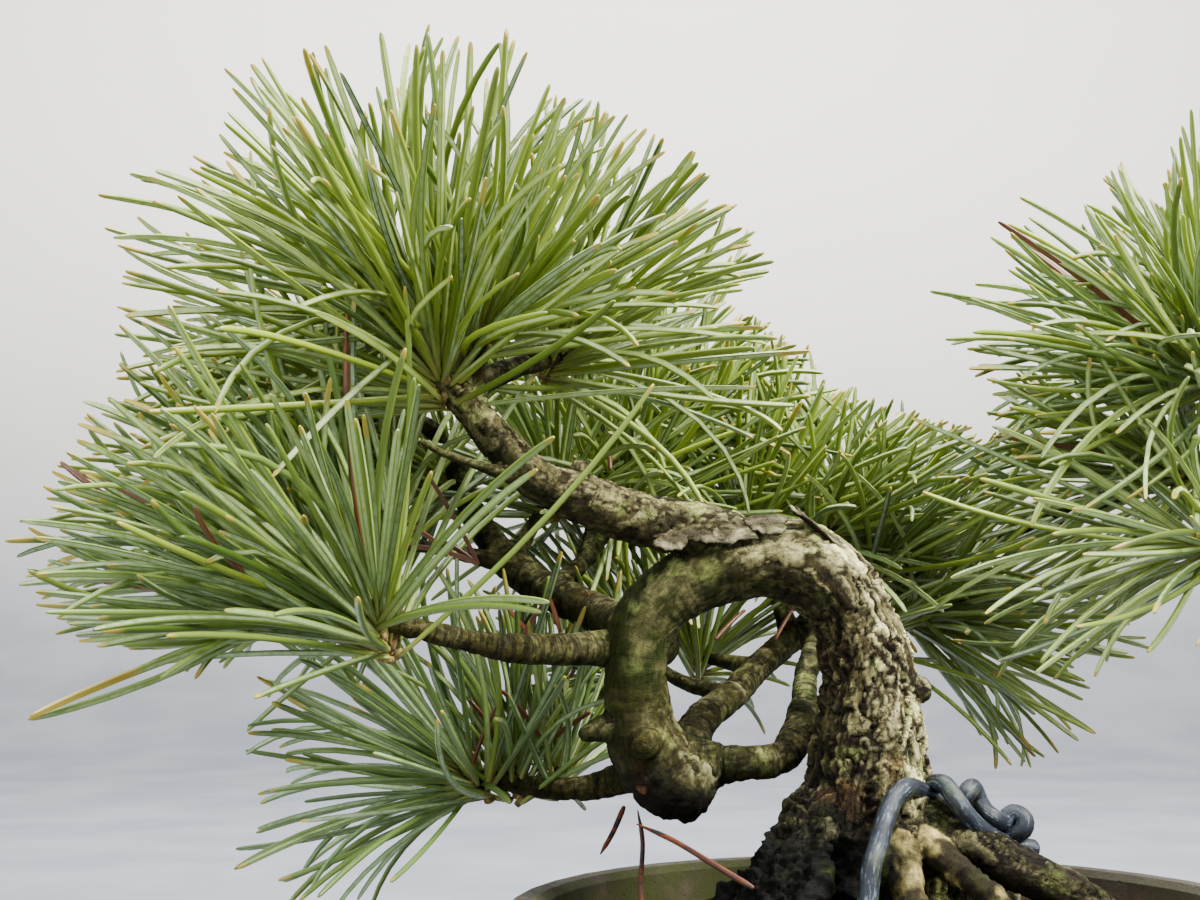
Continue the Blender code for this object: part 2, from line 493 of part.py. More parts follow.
def make_mesh(name, side, finish):
    """A square of open plastic mesh over one drainage hole."""
    floor = FOOT_HEIGHT + POT_FLOOR
    low = floor + GAP
    half = MESH_CELLS * MESH_PITCH / 2 + MESH_BAR / 2
    middle = side * DRAIN_OFFSET
    plate = add_object(name, *box_mesh((middle - half, -half, low), (middle + half, half, low + MESH_THICK)), finish=finish)
    opening = (MESH_PITCH - MESH_BAR) / 2
    centres = (np.arange(MESH_CELLS) - (MESH_CELLS - 1) / 2) * MESH_PITCH
    cells = []
    for x in centres + middle:
        for y in centres:
            verts, faces = box_mesh((x - opening, y - opening, low - 1), (x + opening, y + opening, low + MESH_THICK + 1))
            base = 8 * len(cells)
            cells.append((verts, [tuple(base + k for k in face) for face in faces]))
    verts = [vert for part, _ in cells for vert in part]
    faces = [face for _, part in cells for face in part]
    return combine(plate, [add_object("cutter", verts, faces)], "DIFFERENCE")


def make_clip(name, side, finish):
    """A bent wire that straddles the mesh and turns outwards under the pot's floor."""
    floor = FOOT_HEIGHT + POT_FLOOR
    middle = side * DRAIN_OFFSET
    top = floor + GAP + MESH_THICK + GAP + CLIP_WIRE
    under = FOOT_HEIGHT - GAP - CLIP_WIRE
    leg = MESH_PITCH
    half = [(leg, top - 0.9), (leg, floor - 1), (leg, under + 1.0), (leg + 0.5, under + 0.2), (leg + 1.4, under), (CLIP_REACH, under)]
    right = [(middle + x, 0, z, CLIP_WIRE) for x, z in half]
    left = [(middle - x, 0, z, CLIP_WIRE) for x, z in half]
    bridge = [(middle - leg + 0.6, 0, top - 0.1, CLIP_WIRE), (middle - leg + 1.2, 0, top, CLIP_WIRE), (middle + leg - 1.2, 0, top, CLIP_WIRE), (middle + leg - 0.6, 0, top - 0.1, CLIP_WIRE)]
    return tube_object(name, [*left[::-1], *bridge, *right], 8, finish=finish)


# ---------------------------------------------------------------- tie wire


def helix(start, end, turn_from):
    """Points of one strand of the twist round the axis from start to end."""
    start, end = np.asarray(start, float), np.asarray(end, float)
    axis = end - start
    length = np.linalg.norm(axis)
    axis /= length
    side = np.cross(axis, (0, 1, 0))
    side /= np.linalg.norm(side)
    other = np.cross(axis, side)
    along = np.linspace(0, length, 11)
    turn = turn_from + 2 * math.pi * along / (TWIST_TURN * WIRE_RADIUS)
    return start + np.outer(along, axis) + (WIRE_RADIUS + 0.5 * TWIST_CLEAR) * (np.outer(np.cos(turn), side) + np.outer(np.sin(turn), other))


def tie_wire_halves():
    """The two halves of the wire, each from the twist down through the soil and the pot's floor."""
    floor = FOOT_HEIGHT + POT_FLOOR
    under = FOOT_HEIGHT - GAP - WIRE_RADIUS
    halves = []
    for over, (x, y), to_middle in ((TIE_FRONT, TIE_HOLE_FRONT, 1), (TIE_BACK, TIE_HOLE_BACK, -1)):
        over = lifted(over)
        away = over[:, :2] - TRUNK_FOOT
        over[:, :2] += away / np.linalg.norm(away, axis=1, keepdims=True) * max(0.0, WIRE_RADIUS - TIE_TABLE_RADIUS)
        middle = 0.5 * (over[-1, 2] + floor)
        down = [(x, y, middle + 2.5), (x, y, floor + 2.5), (x, y, FOOT_HEIGHT + 2.0)]
        bend = [(x, y + 0.8 * to_middle, under + 0.9), (x + 0.2 * to_middle, y + 2.6 * to_middle, under)]
        halves.append(np.vstack([over, down, bend]))
    return halves


def tie_wire_buried():
    """The stretches that run through the soil, from above its surface to below its underside."""
    return [half[4:9] for half in tie_wire_halves()]


def make_tie_wire(finish):
    front, back = tie_wire_halves()
    start, end = lifted([TWIST_START, TWIST_END])
    first = helix(start, end, TWIST_FROM)
    second = helix(start, end, TWIST_FROM + math.pi)
    route = np.vstack([first[::-1], front, back[::-1], second])
    return tube_object("tie_wire", np.column_stack([route, np.full(len(route), WIRE_RADIUS)]), 8, finish=finish)


# ---------------------------------------------------------------- wood


def wood_route(name):
    """Rows of (x, y, z, radius) along a limb, root or twig."""
    if name in TWIGS:
        return lifted(TWIGS[name])
    return smooth_route(lifted(LIMBS[name][1]), 2 if name in FINE_LIMBS else 1)


def make_wood(finish):
    wood = tube_object("pine_wood", wood_route("trunk"), LIMBS["trunk"][0], finish=finish, knobbly=0.035)
    parts = []
    for k, (name, (sides, _)) in enumerate(LIMBS.items()):
        if name != "trunk":
            parts.append(tube_object(name, wood_route(name), sides, knobbly=0.03 if sides > 6 else 0.0, phase=0.7 * k))
    parts += [tube_object(name, wood_route(name), TWIG_SIDES) for name in TWIGS]
    parts += bark_plates()
    return combine(wood, parts, "UNION")


def bark_plates():
    """Three lifted plates of old bark along the top of the arch, each still rooted in the trunk."""
    plates = []
    for centre, size, tilt in (
        ((-22.6, -1.6, 80.0), (4.6, 2.6, 0.7), 0.30),
        ((-14.6, -1.4, 80.6), (3.9, 2.6, 0.7), 0.06),
        ((-8.2, -0.8, 78.9), (4.4, 2.2, 0.6), -0.52),
    ):
        verts, faces = box_mesh([-s for s in size], size)
        c, s = math.cos(-tilt), math.sin(-tilt)
        lift = POT_HEIGHT - TABLE_RIM - 0.5
        verts = [(centre[0] + c * x + s * z, centre[1] + y, centre[2] - s * x + c * z + lift) for x, y, z in verts]
        plates.append(add_object("plate", verts, faces))
    return plates


# ---------------------------------------------------------------- needles


def segment_distances(a0, a1, b0, b1):
    """Smallest distance from the segment a0-a1 to each of the segments b0-b1, with where it falls on each."""
    u, v, w = a1 - a0, b1 - b0, a0 - b0
    a, b, c = u.dot(u), v @ u, np.einsum("ij,ij->i", v, v)
    d, e = w @ u, np.einsum("ij,ij->i", v, w)
    bottom = a * c - b * b
    s = np.clip(np.where(bottom > 1e-9, (b * e - c * d) / np.maximum(bottom, 1e-9), 0.5), 0, 1)
    t = np.clip((b * s + e) / np.maximum(c, 1e-9), 0, 1)
    s = np.clip((b * t - d) / max(a, 1e-9), 0, 1)
    apart = w + s[:, None] * u - t[:, None] * v
    return np.linalg.norm(apart, axis=1), s, t


def sphere_faces(level):
    """Unit points and triangles of a finely divided icosahedron."""
    work = bmesh.new()
    bmesh.ops.create_icosphere(work, subdivisions=level, radius=1.0)
    work.verts.index_update()
    points = np.array([tuple(vert.co) for vert in work.verts])
    faces = np.array([[vert.index for vert in face.verts] for face in work.faces])
    work.free()
    return points, faces


def shoot_frame(direction):
    axis = np.asarray(direction, float)
    axis /= np.linalg.norm(axis)
    side = np.cross(axis, (0.12, -0.35, 0.93))
    side /= np.linalg.norm(side)
    return np.column_stack([side, np.cross(axis, side), axis])


def tuft_base(name):
    """Where the twig of this tuft ends, and the way it points."""
    route = wood_route(TUFT_ON_LIMB.get(name, name))
    return route[-1, :3], route[-1, 3]


def make_tufts(finish):
    """Each tuft is a short shoot with long needles standing out of its faces.

    A needle is as long as the room allows: it stops short of any wood, pot or
    needle of another tuft that it would otherwise touch.
    """
    points, faces = sphere_faces(2)
    polar = np.arccos(np.clip(points[:, 2], -1, 1))
    around = np.arctan2(points[:, 1], points[:, 0])
    part = polar / math.pi
    warped = polar * (FAN_WARP + (1 - FAN_WARP) * part**2)
    unit = np.column_stack([np.sin(warped) * np.cos(around), np.sin(warped) * np.sin(around), np.cos(warped)])

    block_a, block_b, block_ra, block_rb, block_owner = [], [], [], [], []

    def block(a, b, ra, rb, owner):
        block_a.append(a)
        block_b.append(b)
        block_ra.append(ra)
        block_rb.append(rb)
        block_owner.append(owner)

    for name in [*LIMBS, *TWIGS]:
        route = wood_route(name)
        for a, b in zip(route[:-1], route[1:]):
            block(a[:3], b[:3], 1.08 * a[3], 1.08 * b[3], "wood")
    cores = {}
    for name, (direction, _) in TUFTS.items():
        base, twig = tuft_base(name)
        turn = shoot_frame(direction)
        half = SHOOT_RADIUS * SHOOT_STRETCH
        centre = base + turn[:, 2] * (half + 0.5 * twig + GAP + 0.15)
        cores[name] = centre, turn
        reach = turn[:, 2] * (half - SHOOT_RADIUS)
        block(centre - reach, centre + reach, SHOOT_RADIUS, SHOOT_RADIUS, name)

    tufts = []
    for order, (name, (_, length)) in enumerate(TUFTS.items()):
        centre, turn = cores[name]
        spin = math.cos(order * 2.4), math.sin(order * 2.4)
        local = np.column_stack([spin[0] * unit[:, 0] - spin[1] * unit[:, 1], spin[1] * unit[:, 0] + spin[0] * unit[:, 1], unit[:, 2]])
        shell = local * SHOOT_RADIUS * (1, 1, SHOOT_STRETCH)
        shell = centre + shell @ turn.T
        verts, out = list(shell), []
        rows = (np.array(block_a), np.array(block_b), np.array(block_ra), np.array(block_rb), np.array(block_owner) != name)
        others = [row[rows[4]] for row in rows[:4]]
        for k, face in enumerate(faces):
            corners = shell[face]
            middle = corners.mean(axis=0)
            outward = middle - centre
            outward /= np.linalg.norm(outward)
            lean = math.degrees(math.acos(np.clip(outward.dot(turn[:, 2]), -1, 1)))
            wanted = length * (0.8 + 0.2 * math.sin(7.3 * k + 1.9 * order))
            skipped = (k + order) % 4 == 0 or not NEEDLE_FROM < lean < NEEDLE_UNTIL
            reach = 0 if skipped else free_length(middle, outward, wanted, others)
            if reach < NEEDLE_STUB:
                out.append(tuple(face))
                continue
            tip = middle + outward * reach
            verts.append(tip)
            out += [(face[0], face[1], len(verts) - 1), (face[1], face[2], len(verts) - 1), (face[2], face[0], len(verts) - 1)]
            block(middle, tip, 0.55 * SHOOT_RADIUS, 0.03, name)
        tufts.append(add_object("needles_" + name, np.array(verts), out, finish=finish))
    return tufts


def free_length(start, outward, wanted, others):
    """How far a needle can reach from start before it comes too near anything else."""
    low, high, low_radius, high_radius = others
    for _ in range(12):
        if wanted < NEEDLE_STUB:
            return 0
        tip = start + outward * wanted
        along = np.linspace(0, 1, 24)[:, None]
        spots = start + along * (tip - start)
        over_pot = (np.hypot(spots[:, 0], spots[:, 1]) < POT_RIM_RADIUS + 2) & (spots[:, 2] < POT_HEIGHT + 2)
        if over_pot.any():
            wanted *= max(0.0, float(along[np.argmax(over_pot), 0]) - 0.05)
            continue
        apart, s, t = segment_distances(start, tip, low, high)
        room = apart - NEEDLE_CLEAR - 0.55 * SHOOT_RADIUS * (1 - s) - (low_radius + (high_radius - low_radius) * t)
        hit = room < 0
        if not hit.any():
            return wanted
        wanted = min(wanted * float(s[hit].min()), wanted) - 0.8
    return 0


def make_fallen(finish):
    made = []
    for name, points in FALLEN.items():
        route = smooth_route(lifted(points), 2)
        radii = np.full(len(route), FALLEN_RADIUS)
        radii[-1] *= 0.5
        made.append(tube_object(name, np.column_stack([route, radii]), 5, finish=finish))
    return made


# ---------------------------------------------------------------- assembly


def place_on_root(objects):
    """Hangs everything on one empty, moved so the whole stands centred on the origin."""
    corners = np.array([tuple(vert.co) for obj in objects for vert in obj.data.vertices])
    low, high = corners.min(axis=0), corners.max(axis=0)
    root = bpy.data.objects.new("bonsai", None)
    bpy.context.scene.collection.objects.link(root)
    root.location = (-0.5 * (low[0] + high[0]), -0.5 * (low[1] + high[1]), -low[2])
    for obj in objects:
        obj.parent = root


def main():
    clear_scene()
    clay = material("unglazed_clay", (0.13, 0.10, 0.07), 0.7)
    grit = material("potting_grit", (0.10, 0.07, 0.045), 0.95)
    plastic = material("mesh_plastic", (0.02, 0.02, 0.02), 0.6)
    steel = material("clip_wire", (0.35, 0.35, 0.36), 0.4, 1.0)
    aluminium = material("anodised_wire", (0.09, 0.11, 0.15), 0.4, 0.6)
    bark = material("bark", (0.17, 0.15, 0.10), 0.85)
    leaf = material("needle_green", (0.12, 0.24, 0.06), 0.5)
    dead = material("dead_needle", (0.25, 0.09, 0.05), 0.6)
    objects = [make_pot(clay), make_soil(grit)]
    for side, word in ((-1, "left"), (1, "right")):
        objects.append(make_mesh("drainage_mesh_" + word, side, plastic))
        objects.append(make_clip("mesh_clip_" + word, side, steel))
    objects.append(make_tie_wire(aluminium))
    objects.append(make_wood(bark))
    objects += make_tufts(leaf)
    objects += make_fallen(dead)
    place_on_root(objects)


main()
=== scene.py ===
import math

import bpy
import numpy as np
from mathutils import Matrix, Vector


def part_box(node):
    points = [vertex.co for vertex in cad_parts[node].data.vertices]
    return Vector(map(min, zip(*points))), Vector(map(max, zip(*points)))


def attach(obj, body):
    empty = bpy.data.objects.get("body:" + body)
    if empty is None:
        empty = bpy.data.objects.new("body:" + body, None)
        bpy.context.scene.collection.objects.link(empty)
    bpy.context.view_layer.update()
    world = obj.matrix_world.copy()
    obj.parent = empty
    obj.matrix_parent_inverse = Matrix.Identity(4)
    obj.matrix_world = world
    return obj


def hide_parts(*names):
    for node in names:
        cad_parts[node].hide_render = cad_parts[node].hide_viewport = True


bl_info = {
    "name": "Small potted pine",
    "version": (1, 0, 0),
    "blender": (4, 5, 0),
    "location": "3D View > Sidebar > Pine",
    "description": "Bark, needles, soil and pot finishes built around a packed bonsai frame",
    "category": "Object",
}

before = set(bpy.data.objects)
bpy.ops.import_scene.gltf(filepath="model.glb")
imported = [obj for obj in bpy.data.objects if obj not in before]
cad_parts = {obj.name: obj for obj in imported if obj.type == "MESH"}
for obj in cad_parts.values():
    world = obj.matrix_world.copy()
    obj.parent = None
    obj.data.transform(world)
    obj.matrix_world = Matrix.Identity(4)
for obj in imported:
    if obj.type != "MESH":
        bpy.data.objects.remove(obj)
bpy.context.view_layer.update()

MM = 0.001
TABLE_RIM = 34.0  # rim height, in mm, that the tables are written for
POT_LOW, POT_HIGH = (np.array(corner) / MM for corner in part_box("pot"))
# The tables are in mm from the middle of the pot: x right, y back, z up.
PLACE = np.array([*((POT_LOW + POT_HIGH)[:2] / 2), POT_HIGH[2] - TABLE_RIM])
RIM_RADIUS = (POT_HIGH[0] - POT_LOW[0]) / 2
RIM_WALL = 4.2  # thickness of the pot's wall at the rim
POT_FLOOR_TOP = 9.5  # height of the pot's floor inside
FLOOR_RADIUS = 31.3  # inner radius of the pot at its floor
FOOT_HEIGHT = 5.0

# ------------------------------------------------------------------ tables

# Limb: rows of (x, y, z, radius), how flaky its bark is, how ringed
LIMBS = {
    "trunk": ([
        (-4, 3, 20, 12), (-4, 2, 28, 14.5), (-4, 1.5, 34, 13), (-4, 0.5, 40.5, 10.6),
        (-3.7, 0, 46.5, 8.6), (-3.5, 0, 52, 7.3), (-3.5, 0, 59, 6.1), (-4, 0, 65, 5.5),
        (-5.8, 0, 70, 5.2), (-8.7, 0, 73.8, 5.2), (-13, 0, 76, 5.1), (-18, 0, 76, 4.7),
        (-23, 0, 74.7, 4.5), (-27.5, 0, 72.3, 4.2), (-31, 0, 68.6, 4), (-32.2, 0, 64, 3.8),
        (-32, 1, 59, 4.1), (-31, 2, 54, 4.7), (-28.5, 3, 50, 5.2), (-25.5, 3, 48.3, 4.8),
    ], 0.8, 0.3),
    "upper_limb": ([
        (-17, 0, 76.5, 3.4), (-24, -1, 79.5, 3.6), (-30, -3, 80.8, 3.3), (-35, -5, 82, 3.2),
        (-39.5, -7, 83.5, 2.9), (-44.5, -9, 85.5, 2.5), (-49, -10, 90, 2.4),
        (-53, -10, 94.5, 1.9), (-55.5, -10.3, 97.3, 1.3), (-56.2, -11, 98.8, 0.9),
    ], 0.65, 0.4),
    "fork_limb": ([
        (-52.5, -9.5, 94.3, 1.6), (-51.5, -6, 97.5, 1.5), (-48.5, -2, 99.7, 1.4),
        (-44.5, 2, 101.7, 1.3), (-42, 5, 103.2, 1.2), (-41, 5.8, 104.1, 0.9),
    ], 0.3, 0.9),
    "dead_twig": ([
        (-45, -8.5, 85.5, 1.4), (-48, -11.4, 85.8, 0.8), (-51.5, -13, 86.8, 0.6),
        (-55, -14, 88, 0.55), (-57.5, -15, 89.3, 0.45),
    ], 0.3, 0.3),
    "dead_spur": ([(-52, -8, 96, 1), (-51, -10.5, 98.5, 0.6), (-50, -11.5, 101.5, 0.45)], 0.3, 0.3),
    "top_stub": ([(-39, -7, 84, 1.6), (-39.1, -7.3, 87.4, 0.9)], 0.5, 0.3),
    "middle_limb": ([
        (-31, 2, 65.3, 2.6), (-36.5, 0, 65.2, 2.05), (-41.5, -4, 65.1, 1.9),
        (-47, -8, 65.3, 1.75), (-52, -11, 66.1, 1.4), (-56, -13, 67.1, 1.3),
        (-60, -15, 68, 1.1), (-62.7, -16, 68.4, 0.85),
    ], 0.1, 1.0),
    "middle_tip": ([
        (-61.5, -15.6, 68.3, 0.8), (-66, -15, 67.9, 0.6), (-70.5, -13, 67.9, 0.55), (-72.9, -12.1, 68.8, 0.5),
    ], 0.1, 0.8),
    "back_left_limb": ([
        (-30.5, 2, 66, 2.8), (-36.5, 14, 69.5, 2.6), (-43.5, 22, 73, 2.5), (-50, 27, 77.5, 2.4),
        (-55, 28, 84.7, 2), (-58, 26, 93, 1.6), (-62, 23, 97, 1.2), (-67.5, 20.3, 99.5, 0.85),
    ], 0.2, 0.9),
    "low_left_limb": ([
        (-27.5, 4, 50, 3), (-32.5, 12, 48.8, 2.3), (-37.3, 16, 47, 1.75), (-42.6, 17, 46.6, 1.5),
        (-48, 17, 47.3, 1.3), (-52.5, 16, 48.2, 1), (-54.8, 15.3, 48.7, 0.8),
    ], 0.15, 1.0),
    "curl_limb": ([
        (-26, 3.5, 50.3, 3.4), (-21.5, 3, 50.9, 2.4), (-18, 2, 51, 2.1), (-14, 3.5, 51.6, 2.1),
        (-11.5, 7.5, 54, 2.2), (-10, 12, 58, 1.8), (-9, 16, 62, 1.6), (-6, 23, 68, 1.5),
        (-4, 30, 74, 1.3), (-2.5, 36, 80, 1.1), (-1.5, 40.5, 84, 0.85),
    ], 0.15, 1.0),
    "curl_stub": ([(-10.6, 10.4, 56.6, 1.6), (-7.9, 11.4, 57.4, 0.9)], 0.2, 0.5),
    "back_right_limb": ([
        (-26.5, 5, 51, 2.9), (-23.5, 14, 55.5, 2.2), (-18.3, 22, 59, 2.1), (-13.8, 30, 62.7, 2),
        (-7.5, 40, 67, 1.9), (0, 46, 72.3, 1.8), (10, 54, 74, 1.7), (22, 56, 80, 1.7),
        (33, 48, 85, 1.7), (44, 36, 89, 1.6), (52, 26, 93, 1.5), (58, 20, 96, 1.3),
    ], 0.2, 0.9),
    "cone_stub": ([(-32, 1, 56.8, 2.4), (-35.5, 0, 55.7, 1.7), (-38.6, -1, 54.7, 0.9)], 0.2, 1.0),
    "callus": ([(-31, 0, 54, 2), (-31.2, -3.4, 53.6, 1.5)], 0.1, 0.6),
    "cut_stub": ([(-30.5, 0.5, 51.5, 1.3), (-31.2, -0.5, 48.3, 0.9)], 0.1, 0.2),
    "bark_knob": ([(-1, -1, 60.5, 2.6), (3.0, -1.5, 60.2, 1.3)], 0.9, 0.1),
    "right_root": ([
        (-2, 0, 44, 4.5), (2.4, -4.6, 44.4, 3.3), (8.5, -7.4, 41.4, 2.9), (15, -8, 38.4, 2.6),
        (20, -8, 36, 2.3), (25, -7, 32, 2), (29, -6, 27, 1.6), (31, -5, 22, 1.2),
    ], 0.9, 0.0),
    "pale_root_a": ([
        (1, -6, 43.5, 1.9), (4.5, -12.5, 40, 1.5), (8.2, -16, 36.8, 1.4), (11, -18, 31, 1.3), (12, -19.5, 23, 1),
    ], 0.0, 0.3),
    "pale_root_b": (
        [(-2, -8, 42.5, 2), (-1.2, -14, 36, 1.7), (-1.5, -16.5, 30, 1.5), (-1.5, -17.5, 23, 1.1)], 0.0, 0.3
    ),
    "pale_root_c": (
        [(-10, -6, 41, 1.8), (-12.5, -12.2, 37, 1.4), (-13.5, -15.5, 31, 1.3), (-14, -17.5, 24, 1)], 0.0, 0.3
    ),
    "left_root": ([
        (-9, -2, 43, 4.5), (-14.5, -6.5, 38.5, 4), (-18, -10, 33, 3.4), (-21, -12, 28, 2.8), (-22, -13, 22, 2),
    ], 1.0, 0.0),
    "back_root_a": ([(-6, 5, 40, 5), (-10.5, 13, 34, 3.6), (-14, 19, 28, 2.6), (-16, 23, 21, 1.8)], 0.9, 0.0),
    "back_root_b": ([(-2, 5, 40, 5), (5, 13, 34, 3.6), (10, 19, 28, 2.6), (13, 22, 21, 1.8)], 0.9, 0.0),
    "right_back_root": (
        [(1, 1, 42, 4.3), (9, 4, 37, 3.2), (15, 7, 31.5, 2.6), (19, 9, 26, 2), (21, 10, 21, 1.5)], 0.9, 0.0
    ),
    "left_back_root": ([(-9, 1, 41.5, 4.3), (-17, 4, 35, 3), (-23, 7, 29, 2.3), (-26, 9, 22, 1.6)], 0.9, 0.0),
}
# Bark along the trunk: how flaky at each row of its route
TRUNK_FLAKY = [1, 1, 1, 1, 1, 1, 1, 1, 0.9, 0.75, 0.6, 0.5, 0.35, 0.2, 0.1, 0.05, 0.1, 0.25, 0.3, 0.3]

# Twigs that end in a tuft of needles, by the tuft's name
TWIGS = {
    "apex_mid": [(-55, -10, 96.6, 1), (-54.6, -7.6, 100, 0.9), (-54.6, -5.8, 103, 0.8)],
    "apex_right": [(-53.5, -9.5, 95.5, 1), (-51.6, -10, 100, 0.9), (-49.8, -9, 104.3, 0.8)],
    "apex_left": [(-55.6, -10.2, 97, 1), (-59.4, -8.2, 102.4, 0.9), (-61, -5.4, 107.8, 0.8)],
    "apex_top": [(-58.9, -8.4, 102, 0.9), (-60.6, -1.2, 105.6, 0.85), (-63.6, 4.4, 111.2, 0.8)],
    "mid_left": [(-65, -15.1, 68, 0.8), (-67.2, -12, 69, 0.8), (-68.8, -9, 70.4, 0.8)],
    "mid_inner": [(-58.5, -14.2, 67.7, 1), (-63, -7.5, 70.6, 0.9), (-69, -1.5, 73.6, 0.85), (-74, 3.3, 76, 0.8)],
    "mid_back": [(-49, 26.4, 76.8, 1.3), (-58, 21, 78.6, 1), (-65, 14, 79.3, 0.9), (-68.6, 10.7, 79.3, 0.8)],
    "back_left_low": [(-55.6, 27.8, 86, 1.2), (-59.4, 29.6, 88.4, 0.9), (-62.2, 30.2, 89.6, 0.8)],
    "low_left_down": [(-51.5, 16.3, 48, 0.9), (-53.6, 18.6, 46.8, 0.85), (-54.8, 20, 45.6, 0.8)],
    "low_spur_up": [(-48.2, 17, 47.3, 1), (-48.6, 18.6, 49.6, 0.8)],
    "low_spur_right": [(-42.4, 17, 46.6, 1.1), (-42.2, 21, 47.8, 0.9), (-42, 23.6, 48.9, 0.8)],
    "mid_rear_up": [(-49.4, 26.6, 77.2, 1.3), (-46.2, 31, 83, 1), (-43, 33.8, 89, 0.8)],
    "arch_back_up": [(-43, 21.6, 72.8, 1.5), (-37.8, 30, 79, 1.1), (-34, 35.4, 84.4, 0.95), (-32.1, 37.6, 88, 0.8)],
    "rear_top": [(-38.6, 28.8, 78, 1.1), (-36.4, 39, 88, 0.95), (-31.4, 43, 94.8, 0.9), (-28.3, 43.9, 99.1, 0.8)],
    "arch_back_right": [(-8.2, 39, 66.5, 1.4), (-11, 41, 76, 1), (-13.4, 41.9, 83.4, 0.8)],
    "trunk_back_up": [(1, 46.7, 72.5, 1.3), (5.6, 45, 76, 0.9), (7.2, 44.4, 78.8, 0.8)],
    "trunk_back_right": [(8, 52.5, 73.6, 1.3), (12.6, 50, 71, 0.9), (15.4, 48.4, 70.2, 0.8)],
    "trunk_back_low": [(-7.5, 40, 66.8, 1.3), (-1, 42, 64.6, 1), (5, 43.8, 64, 0.8)],
    "gap_back": [(-14.4, 29.2, 62.2, 1.3), (-18.6, 36, 63.2, 1), (-22.2, 41, 63.8, 0.8)],
    "gap_left": [(-18.8, 21.4, 58.6, 1.3), (-25.4, 30, 60.6, 1), (-30.4, 37.2, 64.2, 0.8)],
    "right_front": [(57.4, 20.6, 95.7, 1), (52.6, 19, 101, 0.95), (48.6, 18.2, 103, 0.85), (45.4, 18, 103, 0.8)],
    "right_up": [(53.4, 19.4, 100.2, 0.95), (51.6, 20.6, 104.6, 0.85), (49.8, 20.4, 108.4, 0.8)],
    "right_low": [(57.6, 20.2, 95.8, 1), (56, 15, 88, 0.95), (51, 12.6, 81.6, 0.9), (44, 12, 79, 0.8)],
    "right_mid": [(44.6, 35.2, 89.2, 1.2), (44.4, 30, 89.8, 0.9), (43.9, 27, 90.2, 0.8)],
    "right_far": [(58, 20, 96, 1.2), (60.6, 17.4, 99, 0.9), (61.4, 16.4, 101, 0.8)],
    "right_end": [(58, 20, 96, 1.2), (61.4, 20.6, 94.4, 0.9), (63.4, 20.4, 93.2, 0.8)],
}
TUFT_ON_LIMB = {
    "apex_front": "upper_limb", "fork_end": "fork_limb", "mid_front": "middle_limb", "left_tip": "middle_tip",
    "back_left_high": "back_left_limb", "low_left_up": "low_left_limb", "trunk_back_mid": "curl_limb",
}

# Tuft: direction of the shoot, needle length in mm, bundles of five, widest angle off the shoot in degrees, and how
# blue-green its needles are
TUFTS = {
    "apex_front": ((-0.22, -0.36, 0.9), 37, 19, 80, 0.08),
    "mid_front": ((-0.46, -0.3, 0.84), 39, 27, 74, 0.45),
    "left_tip": ((-0.94, -0.3, 0.12), 33, 6, 55, 0.5),
    "low_left_up": ((-0.75, -0.25, 0.62), 34, 11, 66, 0.7),
    "low_left_down": ((-0.88, -0.1, -0.3), 34, 6, 55, 0.7),
    "fork_end": ((0.63, -0.1, 0.77), 32, 16, 75, 0.1),
    "apex_right": ((0.6, -0.3, 0.74), 33, 15, 66, 0.1),
    "apex_left": ((-0.8, -0.3, 0.5), 37, 14, 66, 0.1),
    "apex_mid": ((0.1, 0.2, 0.97), 33, 11, 66, 0.1),
    "apex_top": ((-0.5, 0.1, 0.86), 26, 13, 70, 0.1),
    "mid_left": ((-0.86, -0.3, 0.45), 37, 15, 66, 0.45),
    "mid_inner": ((-0.9, 0, 0.45), 35, 18, 66, 0.4),
    "mid_back": ((-0.72, 0.05, 0.69), 35, 24, 75, 0.3),
    "back_left_high": ((-0.88, -0.05, 0.47), 34, 21, 72, 0.2),
    "back_left_low": ((-0.9, 0.35, 0.25), 30, 24, 75, 0.3),
    "low_spur_up": ((-0.1, 0.15, 0.99), 26, 11, 60, 0.5),
    "low_spur_right": ((0.1, 0.6, 0.8), 27, 12, 66, 0.5),
    "mid_rear_up": ((-0.05, 0.3, 0.95), 30, 30, 84, 0.3),
    "arch_back_up": ((0.3, -0.1, 0.95), 31, 30, 84, 0.2),
    "rear_top": ((0.75, 0.3, 0.6), 27, 24, 78, 0.2),
    "arch_back_right": ((0.45, 0.05, 0.89), 31, 26, 84, 0.2),
    "trunk_back_mid": ((0.55, 0.1, 0.83), 28, 26, 84, 0.2),
    "trunk_back_up": ((0.7, 0, 0.7), 33, 26, 80, 0.2),
    "trunk_back_right": ((0.93, -0.2, 0.3), 34, 28, 78, 0.2),
    "trunk_back_low": ((0.88, -0.25, -0.4), 33, 24, 75, 0.2),
    "gap_back": ((0, 0.5, 0.87), 24, 18, 80, 0.2),
    "gap_left": ((-0.55, 0.4, 0.73), 26, 24, 78, 0.2),
    "right_front": ((-0.85, -0.25, 0.45), 36, 21, 62, 0.3),
    "right_up": ((-0.4, -0.1, 0.9), 30, 18, 66, 0.2),
    "right_low": ((-0.84, -0.35, 0.42), 35, 20, 72, 0.3),
    "right_mid": ((-0.96, 0.05, 0.25), 28, 24, 75, 0.3),
    "right_far": ((0.35, -0.1, 0.93), 30, 26, 80, 0.3),
    "right_end": ((0.95, -0.1, 0.2), 27, 26, 84, 0.3),
}

